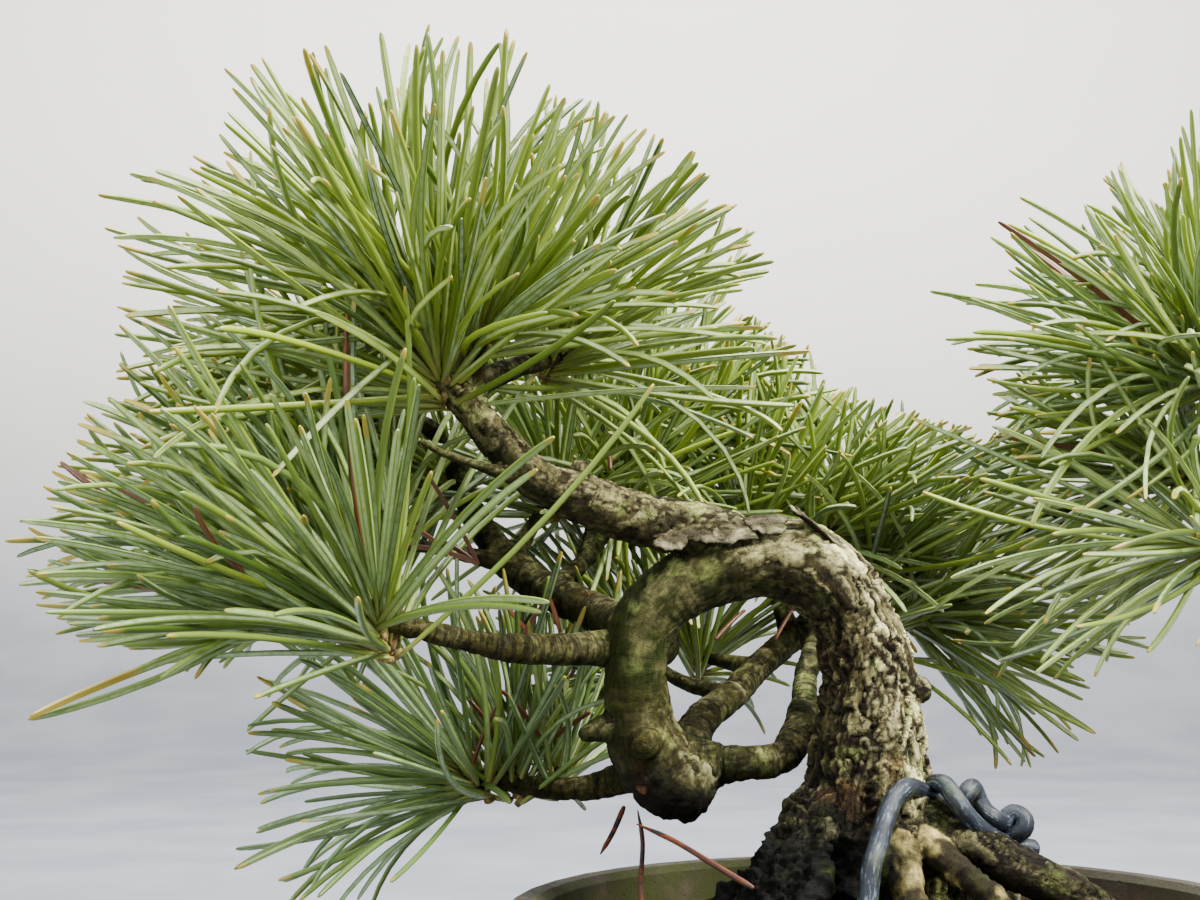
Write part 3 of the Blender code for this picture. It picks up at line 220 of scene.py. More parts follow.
# Long needles that give the crown its outline, by tuft: (x, y, z of the tip, bend in radians, age)
HEROES = {
    "apex_left": [
        (-83.9, -5.1, 138, 0.25, 0), (-76, -34.5, 124.9, 0.2, 0), (-89.6, -35.4, 112.9, 0.35, 0),
        (-86.4, -35.2, 115.2, 0.35, 0)
    ],
    "apex_front": [(-66.2, -34.4, 129.7, 0.15, 0), (-60.3, -34, 131.3, -0.12, 0), (-53.7, -32.8, 129.8, 0.12, 0)],
    "apex_mid": [(-51.9, -18.4, 136.3, 0.2, 0)],
    "apex_right": [
        (-48.1, -13.3, 140, 0.1, 0), (-40.3, -38.4, 122.5, 0.3, 0), (-35.1, -37.2, 120.9, 0.3, 0),
        (-31.9, 3.3, 132.8, 0.35, 0)
    ],
    "fork_end": [
        (-25.9, -19.5, 122.8, 0.25, 0), (-21.4, 19.8, 127.9, 0.3, 0), (-20.2, -19.1, 113.6, 0.35, 0),
        (-16.5, -18.2, 109.8, 0.4, 0), (-16.3, 23.9, 115.8, 0.4, 0)
    ],
    "back_left_high": [(-98.8, 4.1, 113.3, 0.3, 0), (-97.5, -2.4, 104.5, 0.25, 0), (-97.5, 7.4, 116.5, 0.3, 0)],
    "mid_left": [
        (-89.6, -38.9, 86.6, 0.3, 0), (-93.9, -41.6, 77.9, 0.3, 0), (-92.4, -36, 82.6, 0.25, 0),
        (-104.3, 9, 71.4, 0.35, 0)
    ],
    "left_tip": [
        (-92.2, -42.0, 59.0, 0.16, 0.3), (-92.1, -42.1, 72.6, 0.35, 0), (-93.1, -39.9, 58.5, -0.25, 0),
        (-100.4, -0.5, 66.8, 0.3, 0), (-81.3, -35.7, 62.4, 0.3, 0)
    ],
    "mid_front": [
        (-54.2, -46.8, 90.8, 0.1, 0), (-55.9, -48.9, 86.1, 0.12, 0), (-60.6, -50.3, 88.8, 0.1, 0),
        (-68, -49.6, 89.4, 0.15, 0), (-78.8, -48, 88.2, 0.2, 0), (-41.2, -44.4, 86.1, 0.35, 0),
        (-42.8, -44.9, 82.7, 0.3, 0), (-41.7, -42.5, 69.9, 0.3, 0), (-42.5, -41.9, 69, 0.35, 0),
        (-69.4, -50.7, 82.1, 0.2, 0)
    ],
    "low_left_down": [
        (-78.9, -8.6, 39.8, 0.3, 0), (-69, -11.7, 36.9, 0.4, 0), (-72.5, 42.9, 28.1, 0.35, 0),
        (-61.1, -8.3, 38.2, -0.2, 0), (-85.7, 33.8, 44.6, 0.35, 0), (-48.1, 7.9, 45.6, 0.5, 0)
    ],
    "low_left_up": [
        (-77.5, -11.6, 55.5, 0.3, 0), (-84.9, 30.7, 60.6, 0.35, 0), (-72, -9.6, 63.9, 0.3, 0),
        (-75.1, 34.3, 66.3, 0.25, 0), (-64.4, -9.6, 66.3, 0.2, 0)
    ],
    "trunk_back_right": [(26.4, 14.3, 72.1, 0.3, 0), (43.6, 70.3, 68, 0.35, 0), (36.4, 62.6, 94.1, 0.3, 0)],
    "trunk_back_low": [(29.2, 16.5, 53.9, 0.3, 0), (18.8, 19, 49.7, 0.4, 0), (37, 58.8, 58.3, 0.35, 0)],
    "trunk_back_up": [(25.7, 62.9, 100.3, 0.25, 0), (17.1, 64.4, 103.1, 0.2, 0)],
    "arch_back_right": [(1, 56.1, 106.8, 0.2, 0), (-0, 17.6, 99.2, 0.25, 0)],
    "rear_top": [(-8.4, 26.9, 108.4, 0.4, 0), (-9.4, 51.4, 116.7, 0.35, 0)],
    "right_front": [(10.2, 22.7, 115.4, 0.3, 0), (10.1, 13.2, 106.6, 0.35, 0), (18.7, 17.1, 124, 0.2, 0.8)],
    "right_up": [
        (22.1, 18, 127.8, 0.3, 0), (39.7, 29, 135.3, 0.15, 0), (46.1, 34.5, 132.3, 0.1, 0),
        (45.5, 17.1, 137.9, 0.1, 0)
    ],
    "right_low": [
        (16.5, 15.1, 101.7, 0.25, 0), (14.6, 3, 93.2, 0.3, 0), (17.4, -2, 63.6, 0.4, 0), (29.8, -4.3, 64.8, -0.3, 0),
        (32.3, 37.6, 64.2, 0.4, 0)
    ],
}

# Old brown needles caught among the limbs: foot, tip, bend in radians
CAUGHT = [
    ((-51.6, -3.0, 75.5), (-57.6, -6.0, 86.1), 0.15),
    ((-51.6, -3.0, 75.5), (-59.9, -6.0, 77.5), 0.4),
    ((-52.1, -3.0, 75.8), (-56.6, 0.0, 78.7), 0.2),
    ((-57.6, 6.0, 78.7), (-64.3, 2.0, 82.5), 0.2),
    ((-47.2, 14.0, 66.3), (-43.9, 12.0, 71.2), 0.2),
    ((-45.3, 16.0, 66.3), (-49.8, 12.0, 71.8), -0.2),
    ((-42.0, 16.0, 67.3), (-43.5, 14.0, 72.1), 0.1),
    ((-36.6, 16.0, 66.8), (-38.6, 14.0, 72.9), 0.15),
    ((-44.0, 18.0, 52.3), (-49.8, 14.0, 59.7), 0.3),
    ((-44.0, 18.0, 52.3), (-37.9, 16.0, 56.7), 0.2),
    ((-53.7, 14.0, 49.3), (-49.7, 12.0, 58.5), 0.2),
    ((-47.3, 18.0, 48.3), (-54.0, 16.0, 58.3), 0.2),
    ((-7.5, 34.0, 72.1), (-11.6, 30.0, 66.3), 0.2),
    ((-20.5, 26.0, 66.3), (-15.9, 30.0, 70.5), 0.2),
    ((-35.2, 22.0, 89.8), (-35.5, 26.0, 96.0), 0.1),
]

# The crown's outline as seen from the front, as (x, z) on the upright plane through the middle of the pot
FRONT = np.array([-36.65, -200.0, 66.2])  # where it is seen from, which is the camera's place too
OUTLINES = [
    [
        (-85.2, 140.1), (-72.3, 143.2), (-65.2, 145), (-57.4, 144.2), (-48.9, 145.5), (-44.4, 137.4),
        (-40.7, 136.2), (-34, 134), (-30.2, 132), (-24.5, 129.6), (-22.2, 123), (-18.4, 119.4), (-14.1, 114.2),
        (-18.1, 111.2), (-21.1, 109.2), (-17.8, 106.9), (-10.8, 103.7), (-7.1, 98.3), (-2.2, 96.6), (4.8, 94.3),
        (11, 92.3), (19.7, 87.9), (22.9, 81.2), (23.2, 71.8), (21.7, 66.3), (24.8, 54.6), (14.3, 50.6), (8.1, 58.2),
        (3.6, 58.9), (1.3, 66.3), (-8.1, 66.3), (-9.9, 68.7), (-15.7, 54), (-24.3, 54.6), (-27.7, 66.3),
        (-31.7, 58.9), (-31.7, 47.7), (-41.5, 46.4), (-47, 46.2), (-51.3, 46.8), (-61.6, 36.7), (-66.1, 34.6),
        (-71.4, 34.9), (-81, 38.4), (-78.6, 47.7), (-80.2, 54.9), (-78.9, 61.3), (-73.8, 64.4), (-78.5, 64.4),
        (-91.1, 63.6), (-100.2, 66.3), (-105.8, 70.5), (-109.7, 74.9), (-109.2, 74.3), (-109.5, 80.9),
        (-104.9, 86.2), (-102.9, 91.8), (-98.2, 105.4), (-97.8, 112.5), (-101.4, 123), (-97, 126), (-85.3, 128.9),
        (-84.1, 132.9),
    ],
    [
        (5.2, 110.5), (9.3, 112.9), (14, 119.8), (17.3, 123.2), (23.5, 117.6), (30, 127.2), (33.9, 121),
        (38.9, 132.9), (54.3, 143.6), (88.1, 143.6), (81.2, 46.8), (43.6, 56.5), (38.1, 71.2), (31.2, 64),
        (22.9, 64.4), (17.4, 63.6), (14.4, 78.7), (13.2, 93.2), (11.7, 99.2), (6.6, 104.1),
    ],
]
# Limbs kept in sight from the front: the share of the needles hiding each that a grower plucks
SHOWN = {
    "trunk": 0.99, "upper_limb": 0.975, "fork_limb": 0.92, "dead_twig": 0.95, "top_stub": 0.9, "middle_limb": 0.93,
    "low_left_limb": 0.75, "curl_limb": 0.85, "cone_stub": 0.95, "callus": 0.95, "back_right_limb": 0.5,
}

# Wire: each half over the root base and down to its own hole in the pot's floor
TIE_FRONT = [
    (-1.2, -9.8, 48.9), (-2.7, -11.6, 47.9), (-4.1, -13.4, 45.6), (-5.2, -14.8, 42.9), (-6.3, -16.2, 40.1),
    (-7.6, -17.8, 30)
]
TIE_BACK = [(5.8, 5.2, 47.4), (2, 10.2, 45.6), (-1.6, 13.4, 41.4), (-2.6, 16.2, 36), (-3.4, 18, 30)]
TIE_HOLES = ((-8.0, -19.0), (-5.0, 19.0))
WIRE_RADIUS = 1.14
# The loose knot: the front half's end, then the back half's, each from its cut end towards the roots
KNOT_FRONT = [
    (11.3, -2.9, 43.0), (12.5, -4.3, 43.1), (13.8, -5.1, 43.8), (14.0, -4.9, 45.0), (12.9, -4.3, 45.6),
    (11.5, -4.6, 44.7), (10.0, -6.4, 45.3), (9.2, -5.6, 46.0), (8.8, -4.2, 47.1), (7.9, -5.2, 48.7),
    (6.7, -6.6, 47.9), (6.4, -5.0, 46.3), (5.4, -3.2, 45.9), (3.7, -3.4, 46.9), (1.9, -5.4, 48.2),
    (0.1, -7.6, 49.0),
]
KNOT_BACK = [
    (15.3, -3.6, 41.4), (13.6, -4.0, 41.6), (11.6, -5.0, 42.1), (9.4, -6.8, 43.3), (7.6, -8.2, 44.6),
    (6.1, -8.8, 46.2), (5.0, -8.4, 47.9), (4.2, -7.0, 49.2), (3.5, -4.6, 49.1), (3.0, -2.2, 47.9), (3.0, 0.6, 46.7),
]

FALLEN = {
    "fallen_needle_1": [(-31, 6, 30.6), (-31.5, 8, 35), (-31.2, 9, 40.5), (-31.8, 9.5, 44.5)],
    "fallen_needle_2": [(-19.5, -15.6, 38.6), (-23.5, -12, 40.6), (-28, -7.4, 42.8), (-32.2, -3, 44.2)],
    "fallen_needle_3": [(-20, -17, 31.6), (-26, -13, 31), (-31, -5, 30.6), (-33, 2, 30.4)],
    "fallen_needle_4": [(-33.6, 8.8, 45), (-35, 7.6, 42), (-36.6, 6, 39.5)],
    "fallen_needle_5": [(18, -20, 30.4), (24, -15, 30.6), (31, -12, 30.4), (37, -6, 29.8)],
}

# Lifted plates of old bark: middle, direction of the long side, direction of the other side, half sizes, curl, seed
PLATES = [
    ((-24.6, -4.4, 79.6), (0.95, 0.05, -0.16), (0, 0.62, 0.72), (3.2, 1.9), 0.5, 3),
    ((-20.2, -3.9, 79.9), (1, 0, 0.05), (0, 0.7, 0.7), (3.0, 2.0), 0.4, 8),
    ((-16.2, -3.7, 80.5), (1, 0, 0.05), (0, 0.75, 0.66), (2.6, 1.9), 0.5, 15),
    ((-9.7, -2.9, 79.9), (0.8, 0.05, -0.6), (0, 0.9, 0.4), (4.3, 1.5), 1.1, 21),
    ((-28.2, -5.6, 78.6), (0.95, -0.1, -0.1), (0.1, 0.5, 0.8), (2.2, 1.5), 0.4, 27),
]


def linear(red, green, blue):
    """A screen colour of 0 to 255 as scene-linear numbers with a full alpha."""
    parts = np.array([red, green, blue]) / 255.0
    low = parts <= 0.04045
    return (*np.where(low, parts / 12.92, ((parts + 0.055) / 1.055) ** 2.4).tolist(), 1.0)


# ------------------------------------------------------------------ settings


def shade(name, description, default):
    """A colour setting, whose default is a screen colour of 0 to 255."""
    return bpy.props.FloatVectorProperty(
        name=name, description=description, default=linear(*default), size=4, min=0, max=1, subtype="COLOR"
    )


def measure(name, description, default, **more):
    """A number setting."""
    return bpy.props.FloatProperty(name=name, description=description, default=default, **more)


class PineSizes(bpy.types.PropertyGroup):
    needle_width: measure("Needle width", "Width of a needle across its flat side", 0.87 * MM, unit="LENGTH")
    needle_density: measure("Needle density", "Share of the usual number of needle bundles", 1.0, min=0.1, max=2.0)
    bark_grid: measure("Bark grid", "Side of the grid that the bark is carved on", 0.36 * MM, unit="LENGTH")
    bark_depth: measure("Bark depth", "Depth of the cracks between plates of old bark", 0.9 * MM, unit="LENGTH")
    wire_radius: measure("Wire radius", "Radius of the tie wire", WIRE_RADIUS * MM, unit="LENGTH")
    grit: bpy.props.IntProperty(name="Grit", description="Number of loose grains on the soil", default=2600, min=0)


class PineColours(bpy.types.PropertyGroup):
    needle_deep: shade("Deep needle", "Shaded green of the needles", (50, 72, 10))
    needle_fresh: shade("Fresh needle", "Yellow-green of needles in full light", (140, 158, 40))
    needle_blue: shade("Blue needle", "Blue-green of the lower needles", (86, 118, 70))
    needle_pale: shade("Pale band", "Waxy bands on the inner faces of a needle", (196, 214, 180))
    needle_tip: shade("Needle tip", "Dry ochre tip", (146, 132, 44))
    needle_dead: shade("Dead needle", "Old brown needle", (96, 54, 28))
    clay: shade("Clay", "Unglazed fired clay", (88, 74, 62))
    wire: shade("Wire", "Weathered anodised wire", (18, 20, 26))


# ------------------------------------------------------------------ numbers that vary over a surface


def lattice(i, j, k, seed):
    """A fixed random number from 0 to 1 for each whole-number point, by mixing the bits of the three numbers."""
    i, j, k = (part.astype(np.uint64) for part in (i, j, k))
    mixed = (
        i * np.uint64(73856093) ^ j * np.uint64(19349663) ^ k * np.uint64(83492791) ^ np.uint64(seed * 2654435 + 97)
    )
    mixed = (mixed ^ (mixed >> np.uint64(15))) * np.uint64(2246822519)
    mixed = (mixed ^ (mixed >> np.uint64(13))) * np.uint64(3266489917)
    return ((mixed ^ (mixed >> np.uint64(16))) & np.uint64(0xFFFFFF)).astype(float) / 0xFFFFFF


def noise(points, seed=0):
    """Smooth noise from -1 to 1: random numbers on a unit lattice, eased between the eight round each point."""
    points = np.asarray(points, float) + 4096.5
    base = np.floor(points)
    part = points - base
    part = part * part * (3 - 2 * part)
    total = 0.0
    for corner in range(8):
        step = np.array([corner & 1, corner >> 1 & 1, corner >> 2 & 1])
        weight = np.prod(np.where(step, part, 1 - part), axis=-1)
        total = total + weight * lattice(*np.moveaxis(base + step, -1, 0), seed)
    return 2 * total - 1


def fractal(points, octaves=4, seed=0):
    """Noise plus the same at twice the frequency and half the height, again and again."""
    total, height = 0.0, 1.0
    points = np.asarray(points, float)
    for octave in range(octaves):
        total = total + height * noise(points * 2.03**octave + 11.7 * octave, seed + octave)
        height *= 0.5
    return total


def cells(points, seed=0):
    """One random point in each unit cell: how far the nearest is, how far the second, and the nearest's number."""
    points = np.asarray(points, float) + 2048.0
    base = np.floor(points)
    first = np.full(points.shape[:-1], 9.0)
    second = first.copy()
    number = np.zeros_like(first)
    for offset in np.ndindex(3, 3, 3):
        cell = base + np.array(offset) - 1
        ijk = np.moveaxis(cell, -1, 0)
        spot = cell + np.stack([lattice(*ijk, seed + 31 * k) for k in (1, 2, 3)], axis=-1)
        far = np.linalg.norm(points - spot, axis=-1)
        nearer = far < first
        second = np.where(nearer, first, np.minimum(second, far))
        number = np.where(nearer, lattice(*ijk, seed + 7), number)
        first = np.where(nearer, far, first)
    return first, second, number


def smooth(low, high, value):
    """0 below low, 1 above high, and eased between them."""
    part = np.clip((value - low) / (high - low), 0, 1)
    return part * part * (3 - 2 * part)


def mixed(first, second, share):
    """From the first rows to the second by a share for each row."""
    return first + (second - first) * np.asarray(share)[..., None]


def unit(vectors):
    """The same directions at length one."""
    vectors = np.asarray(vectors, float)
    return vectors / np.maximum(np.linalg.norm(vectors, axis=-1, keepdims=True), 1e-9)


# ------------------------------------------------------------------ meshes


def build_mesh(name, points, faces, attributes=None, smoothed=True):
    """A mesh from points in mm of the tables and arrays of faces, one array for each number of corners."""
    faces = [np.asarray(part, np.int32) for part in faces if len(part)]
    corners = np.concatenate([part.ravel() for part in faces])
    sizes = np.concatenate([np.full(len(part), part.shape[1], np.int32) for part in faces])
    mesh = bpy.data.meshes.new(name)
    mesh.vertices.add(len(points))
    mesh.vertices.foreach_set("co", ((np.asarray(points, float) + PLACE) * MM).astype(np.float32).ravel())
    mesh.loops.add(len(corners))
    mesh.loops.foreach_set("vertex_index", corners)
    mesh.polygons.add(len(sizes))
    mesh.polygons.foreach_set("loop_start", np.concatenate([[0], np.cumsum(sizes)[:-1]]).astype(np.int32))
    smooth_flags = np.full(len(sizes), bool(smoothed)) if np.isscalar(smoothed) else smoothed
    mesh.polygons.foreach_set("use_smooth", smooth_flags)
    mesh.update(calc_edges=True)
    for key, values in (attributes or {}).items():
        add_attribute(mesh, key, values)
    return mesh


def add_attribute(mesh, name, values):
    """Two, three or four numbers at each point, as a map, a vector or a colour."""
    values = np.asarray(values, np.float32)
    kind, field = {
        2: ("FLOAT2", "vector"), 3: ("FLOAT_VECTOR", "vector"), 4: ("FLOAT_COLOR", "color")
    }[values.shape[-1]]
    attribute = mesh.attributes.new(name, kind, "POINT")
    attribute.data.foreach_set(field, values.ravel())


def add_piece(name, mesh, finish, replaces=()):
    """Links a finished mesh as a piece of the tree and ties it to the frame."""
    piece = bpy.data.objects.new(name, mesh)
    bpy.context.scene.collection.objects.link(piece)
    mesh.materials.append(finish)
    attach(piece, "root")
    if replaces:
        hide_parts(*replaces)
    return piece


def curve_through(rows, step):
    """A Catmull-Rom curve through the rows, with a point about every step mm."""
    rows = np.asarray(rows, float)
    first, second = rows[:-1], rows[1:]
    before = np.vstack([2 * rows[0] - rows[1], rows[:-2]])
    after = np.vstack([rows[2:], 2 * rows[-1] - rows[-2]])
    spans = np.maximum(2, np.ceil(np.linalg.norm((second - first)[:, :3], axis=1) / step).astype(int))
    span = np.repeat(np.arange(len(first)), spans)
    t = (np.arange(len(span)) - np.repeat(np.cumsum(spans) - spans, spans)) / spans[span]
    t = t[:, None]
    a, b, c, d = before[span], first[span], second[span], after[span]
    curve = 0.5 * (2 * b + (c - a) * t + (2 * a - 5 * b + 4 * c - d) * t**2 + (3 * b - a - 3 * c + d) * t**3)
    return np.vstack([curve, rows[-1:]])


def square_to(vectors, axes):
    """The vectors with their share along the axes taken out, at unit length."""
    return unit(vectors - axes * np.einsum("ij,ij->i", vectors, axes)[:, None])


def frames_along(centres):
    """Tangent, side and other side at each point, turned as little as can be from one point to the next."""
    tangents = unit(np.gradient(centres, axis=0))
    side = unit(np.cross(tangents[0], (0.31, 0.95, 0.07)))
    sides = np.empty_like(tangents)
    for row, tangent in enumerate(tangents):
        side = side - tangent * side.dot(tangent)
        side = side / np.linalg.norm(side)
        sides[row] = side
    return tangents, sides, np.cross(tangents, sides)


def grid_faces(rows, columns, start=0):
    """Quads between rows of points that close on themselves round the columns."""
    row, column = np.meshgrid(np.arange(rows - 1), np.arange(columns), indexing="ij")
    beside = (column + 1) % columns
    quads = np.stack(
        [row * columns + column, row * columns + beside, (row + 1) * columns + beside, (row + 1) * columns + column],
        axis=-1
    )
    return quads.reshape(-1, 4) + start


def sweep(rows, sides):
    """A circle carried along rows of (x, y, z, radius), with a half-round dome on each end, and its faces.

    Each dome adds three rings, whose radius falls as a cosine while they step on as a sine."""
    rows = np.asarray(rows, float)
    centres, radii = rows[:, :3], rows[:, 3]
    tangents, side, other = frames_along(centres)
    turn = np.radians([72, 48, 24])
    drop, grow = np.cos(turn), 0.7 * np.sin(turn)
    head = centres[0] - tangents[0] * (grow * radii[0])[:, None]
    tail = centres[-1] + tangents[-1] * (grow * radii[-1])[::-1][:, None]
    centres = np.vstack([head, centres, tail])
    radii = np.concatenate([drop * radii[0], radii, (drop * radii[-1])[::-1]])
    side, other = (np.vstack([np.repeat(part[:1], 3, 0), part, np.repeat(part[-1:], 3, 0)]) for part in (side, other))
    angles = np.arange(sides) * 2 * math.pi / sides
    ring = np.cos(angles)[None, :, None] * side[:, None] + np.sin(angles)[None, :, None] * other[:, None]
    points = centres[:, None] + ring * radii[:, None, None]
    points = points.reshape(-1, 3)
    count = len(radii)
    return points, [grid_faces(count, sides), end_faces(count, sides)]


def end_faces(rows, columns):
    """The two faces that close a tube of points: round the first row backwards, and round the last."""
    return np.array([np.arange(columns)[::-1], (rows - 1) * columns + np.arange(columns)])


def lengths_along(points):
    """Length of the way to each point from the first."""
    return np.concatenate([[0], np.cumsum(np.linalg.norm(np.diff(points, axis=0), axis=1))])


def joined(parts):
    """Several (points, faces) as one."""
    points, by_size, start = [], {}, 0
    for part_points, part_faces in parts:
        points.append(part_points)
        for faces in part_faces:
            if len(faces):
                by_size.setdefault(faces.shape[1], []).append(faces + start)
        start += len(part_points)
    return np.vstack(points), [np.vstack(faces) for faces in by_size.values()]


# ------------------------------------------------------------------ shader maths


class Socket:
    """One output of a material's nodes. A sum or product of sockets adds its Math nodes."""

    def __init__(self, graph, socket):
        self.graph, self.socket = graph, socket

    def maths(self, operation, *values):
        return self.graph.add("ShaderNodeMath", {"operation": operation}, dict(enumerate(values)))

    def __add__(self, other):
        return self.maths("ADD", self, other)

    def __sub__(self, other):
        return self.maths("SUBTRACT", self, other)

    def __rsub__(self, other):
        return self.maths("SUBTRACT", other, self)

    def __mul__(self, other):
        return self.maths("MULTIPLY", self, other)

    __radd__ = __add__
    __rmul__ = __mul__

    def eased(self, low, high, to_low=0.0, to_high=1.0):
        """This value brought from low..high to to_low..to_high, eased at both ends."""
        return self.graph.add(
            "ShaderNodeMapRange",
            {"interpolation_type": "SMOOTHSTEP"},
            {"Value": self, "From Min": low, "From Max": high, "To Min": to_low, "To Max": to_high},
        )


class Graph:
    """The nodes of one material."""

    def __init__(self, name):
        self.material = bpy.data.materials.new(name)
        self.material.use_nodes = True
        self.tree = self.material.node_tree
        self.shader = next(node for node in self.tree.nodes if node.type == "BSDF_PRINCIPLED")

    def feed(self, node, values):
        for key, value in values.items():
            if isinstance(value, Socket):
                self.tree.links.new(value.socket, node.inputs[key])
            else:
                node.inputs[key].default_value = value

    def add(self, kind, settings=None, values=None, output=0):
        """A node of this type with its settings, then the values or links of its sockets."""
        node = self.tree.nodes.new(kind)
        for key, value in (settings or {}).items():
            if key == "stops":
                while len(node.color_ramp.elements) < len(value):
                    node.color_ramp.elements.new(1.0)
                for element, (position, colour) in zip(node.color_ramp.elements, value):
                    element.position, element.color = position, colour
            else:
                setattr(node, key, value)
        self.feed(node, values or {})
        return Socket(self, node.outputs[output])

    def attribute(self, name, output="Color"):
        return self.add("ShaderNodeAttribute", {"attribute_name": name}, output=output)

    def parts(self, colour):
        split = self.add("ShaderNodeSeparateColor", values={"Color": colour}).socket.node
        return tuple(Socket(self, split.outputs[k]) for k in range(3))

    def vector_maths(self, operation, *values, output=0):
        return self.add("ShaderNodeVectorMath", {"operation": operation}, dict(enumerate(values)), output=output)

    def place(self):
        """Object coordinates in mm."""
        where = self.add("ShaderNodeTexCoord", output="Object")
        return self.vector_maths("MULTIPLY", where, (1 / MM, 1 / MM, 1 / MM))

    def stretched(self, where, factors):
        """The coordinates times these three factors: a pattern on them is drawn out where a factor is small."""
        return self.vector_maths("MULTIPLY", where, factors)

    def shaken(self, where, by, amount):
        """The coordinates moved by a noise colour times this many mm."""
        return self.vector_maths("ADD", where, self.vector_maths("MULTIPLY", by, (amount,) * 3))

    def noise(self, where, scale, detail=4.0, roughness=0.55, distortion=0.0, output="Fac"):
        values = {"Vector": where, "Scale": scale, "Detail": detail, "Roughness": roughness, "Distortion": distortion}
        return self.add("ShaderNodeTexNoise", {"noise_dimensions": "3D"}, values, output=output)

    def cells(self, where, scale, feature="F1", output="Distance"):
        values = {"Vector": where, "Scale": scale}
        return self.add("ShaderNodeTexVoronoi", {"feature": feature}, values, output=output)

    def mix(self, share, first, second, blend="MIX"):
        return self.add(
            "ShaderNodeMix", {"data_type": "RGBA", "blend_type": blend, "clamp_factor": True},
            {0: share, 6: first, 7: second}, output=2
        )

    def ramp(self, value, stops):
        return self.add("ShaderNodeValToRGB", {"stops": stops}, {"Fac": value})

    def dimmed(self, colour, share):
        """The colour times this share in all three channels."""
        grey = self.add("ShaderNodeCombineColor", values={0: share, 1: share, 2: share})
        return self.mix(1.0, colour, grey, "MULTIPLY")

    def finish(self, colour, roughness, height=None, **constants):
        """Feeds the shader. Height is in mm, and a constant goes straight onto its own socket."""
        self.feed(self.shader, {"Base Color": colour, "Roughness": roughness})
        if height is not None:
            bump = self.add("ShaderNodeBump", values={"Strength": 1.0, "Distance": MM, "Height": height})
            self.feed(self.shader, {"Normal": bump})
        for key, value in constants.items():
            self.shader.inputs[key.replace("_", " ")].default_value = value
        return self.material


def bark_finish(name="bark"):
    """Carved colour under fine grain, cracks across young wood, and dark pores."""
    g = Graph(name)
    where = g.attribute("bark_place", "Vector")
    flaky, ringed, relief = g.parts(g.attribute("bark_marks"))
    tint = g.attribute("bark_colour")
    long_way = g.stretched(where, (0.5, 1.0, 1.0))
    grain = g.noise(long_way, 1.5, 7.0, 0.66)
    fine = g.noise(where, 5.5, 5.0, 0.7)
    across = g.noise(g.stretched(where, (1.9, 0.34, 0.34)), 1.0, 5.0, 0.66, 0.5)
    cracks = across.eased(0.5, 0.4) * ringed
    bent = g.shaken(long_way, g.noise(where, 0.9, output="Color"), 2.0)
    bent = g.shaken(bent, g.noise(long_way, 2.6, 3.0, output="Color"), 1.3)
    gaps = g.cells(bent, 0.5, "DISTANCE_TO_EDGE").eased(0.06, 0.0) * flaky
    chip = g.parts(g.cells(bent, 0.5, output="Color"))[0]
    small_chip = g.parts(g.cells(bent, 1.3, output="Color"))[1]
    chips = (chip * 0.62 + small_chip * 0.38 - 0.5) * flaky
    darker = (
        (1 - cracks * 0.55) * (1 - gaps * 0.65) * grain.eased(0.3, 0.72, 0.5, 1.45) * fine.eased(0.3, 0.7, 0.75, 1.25)
        * (1 + chips * 1.2)
    )
    colour = g.dimmed(tint, darker)
    height = grain * 0.2 + fine * 0.1 - cracks * 0.22 - gaps * 0.2 + chips * 0.26
    return g.finish(colour, relief.eased(0.0, 1.0, 0.95, 0.8), height, Specular_IOR_Level=0.1)


def needle_finish(name, colours):
    """Green with waxy bands on the two inner faces, an ochre tip and a paler base.

    A needle browns from its tip as it ages."""
    g = Graph(name)
    around, along, tint = g.parts(g.attribute("needle_marks"))
    age = g.attribute("needle_marks", "Alpha")
    blue, light, speck = g.parts(g.attribute("needle_kind"))
    green = g.mix(tint, tuple(colours.needle_deep), tuple(colours.needle_fresh))
    green = g.mix(blue, green, g.mix(tint, tuple(colours.needle_deep), tuple(colours.needle_blue)))
    streak = g.noise(g.place(), 0.9, 3.0, 0.6)
    band = around.eased(0.08, 0.16) * around.eased(0.44, 0.34) * (
        1 - around.eased(0.24, 0.255) * around.eased(0.285, 0.27) * 0.7
    )
    green = g.mix(band * light * streak.eased(0.25, 0.6, 0.1, 0.5), green, tuple(colours.needle_pale))
    green = g.mix(along.eased(0.2, 0.0, 0.0, 0.75), green, linear(150, 150, 70))
    green = g.mix(along.eased(0.955, 0.99) * speck.eased(0.3, 0.6), green, tuple(colours.needle_tip))
    dead = g.mix(
        age.eased(0.2, 0.6), tuple(colours.needle_tip),
        g.mix(streak.eased(0.3, 0.7), tuple(colours.needle_dead), linear(92, 54, 28))
    )
    colour = g.mix((along + age * 1.3).eased(1.0, 1.07), green, dead)
    shine = g.mix(band, (0.42, 0.42, 0.42, 1.0), (0.62, 0.62, 0.62, 1.0))
    return g.finish(colour, shine, Specular_IOR_Level=0.45)


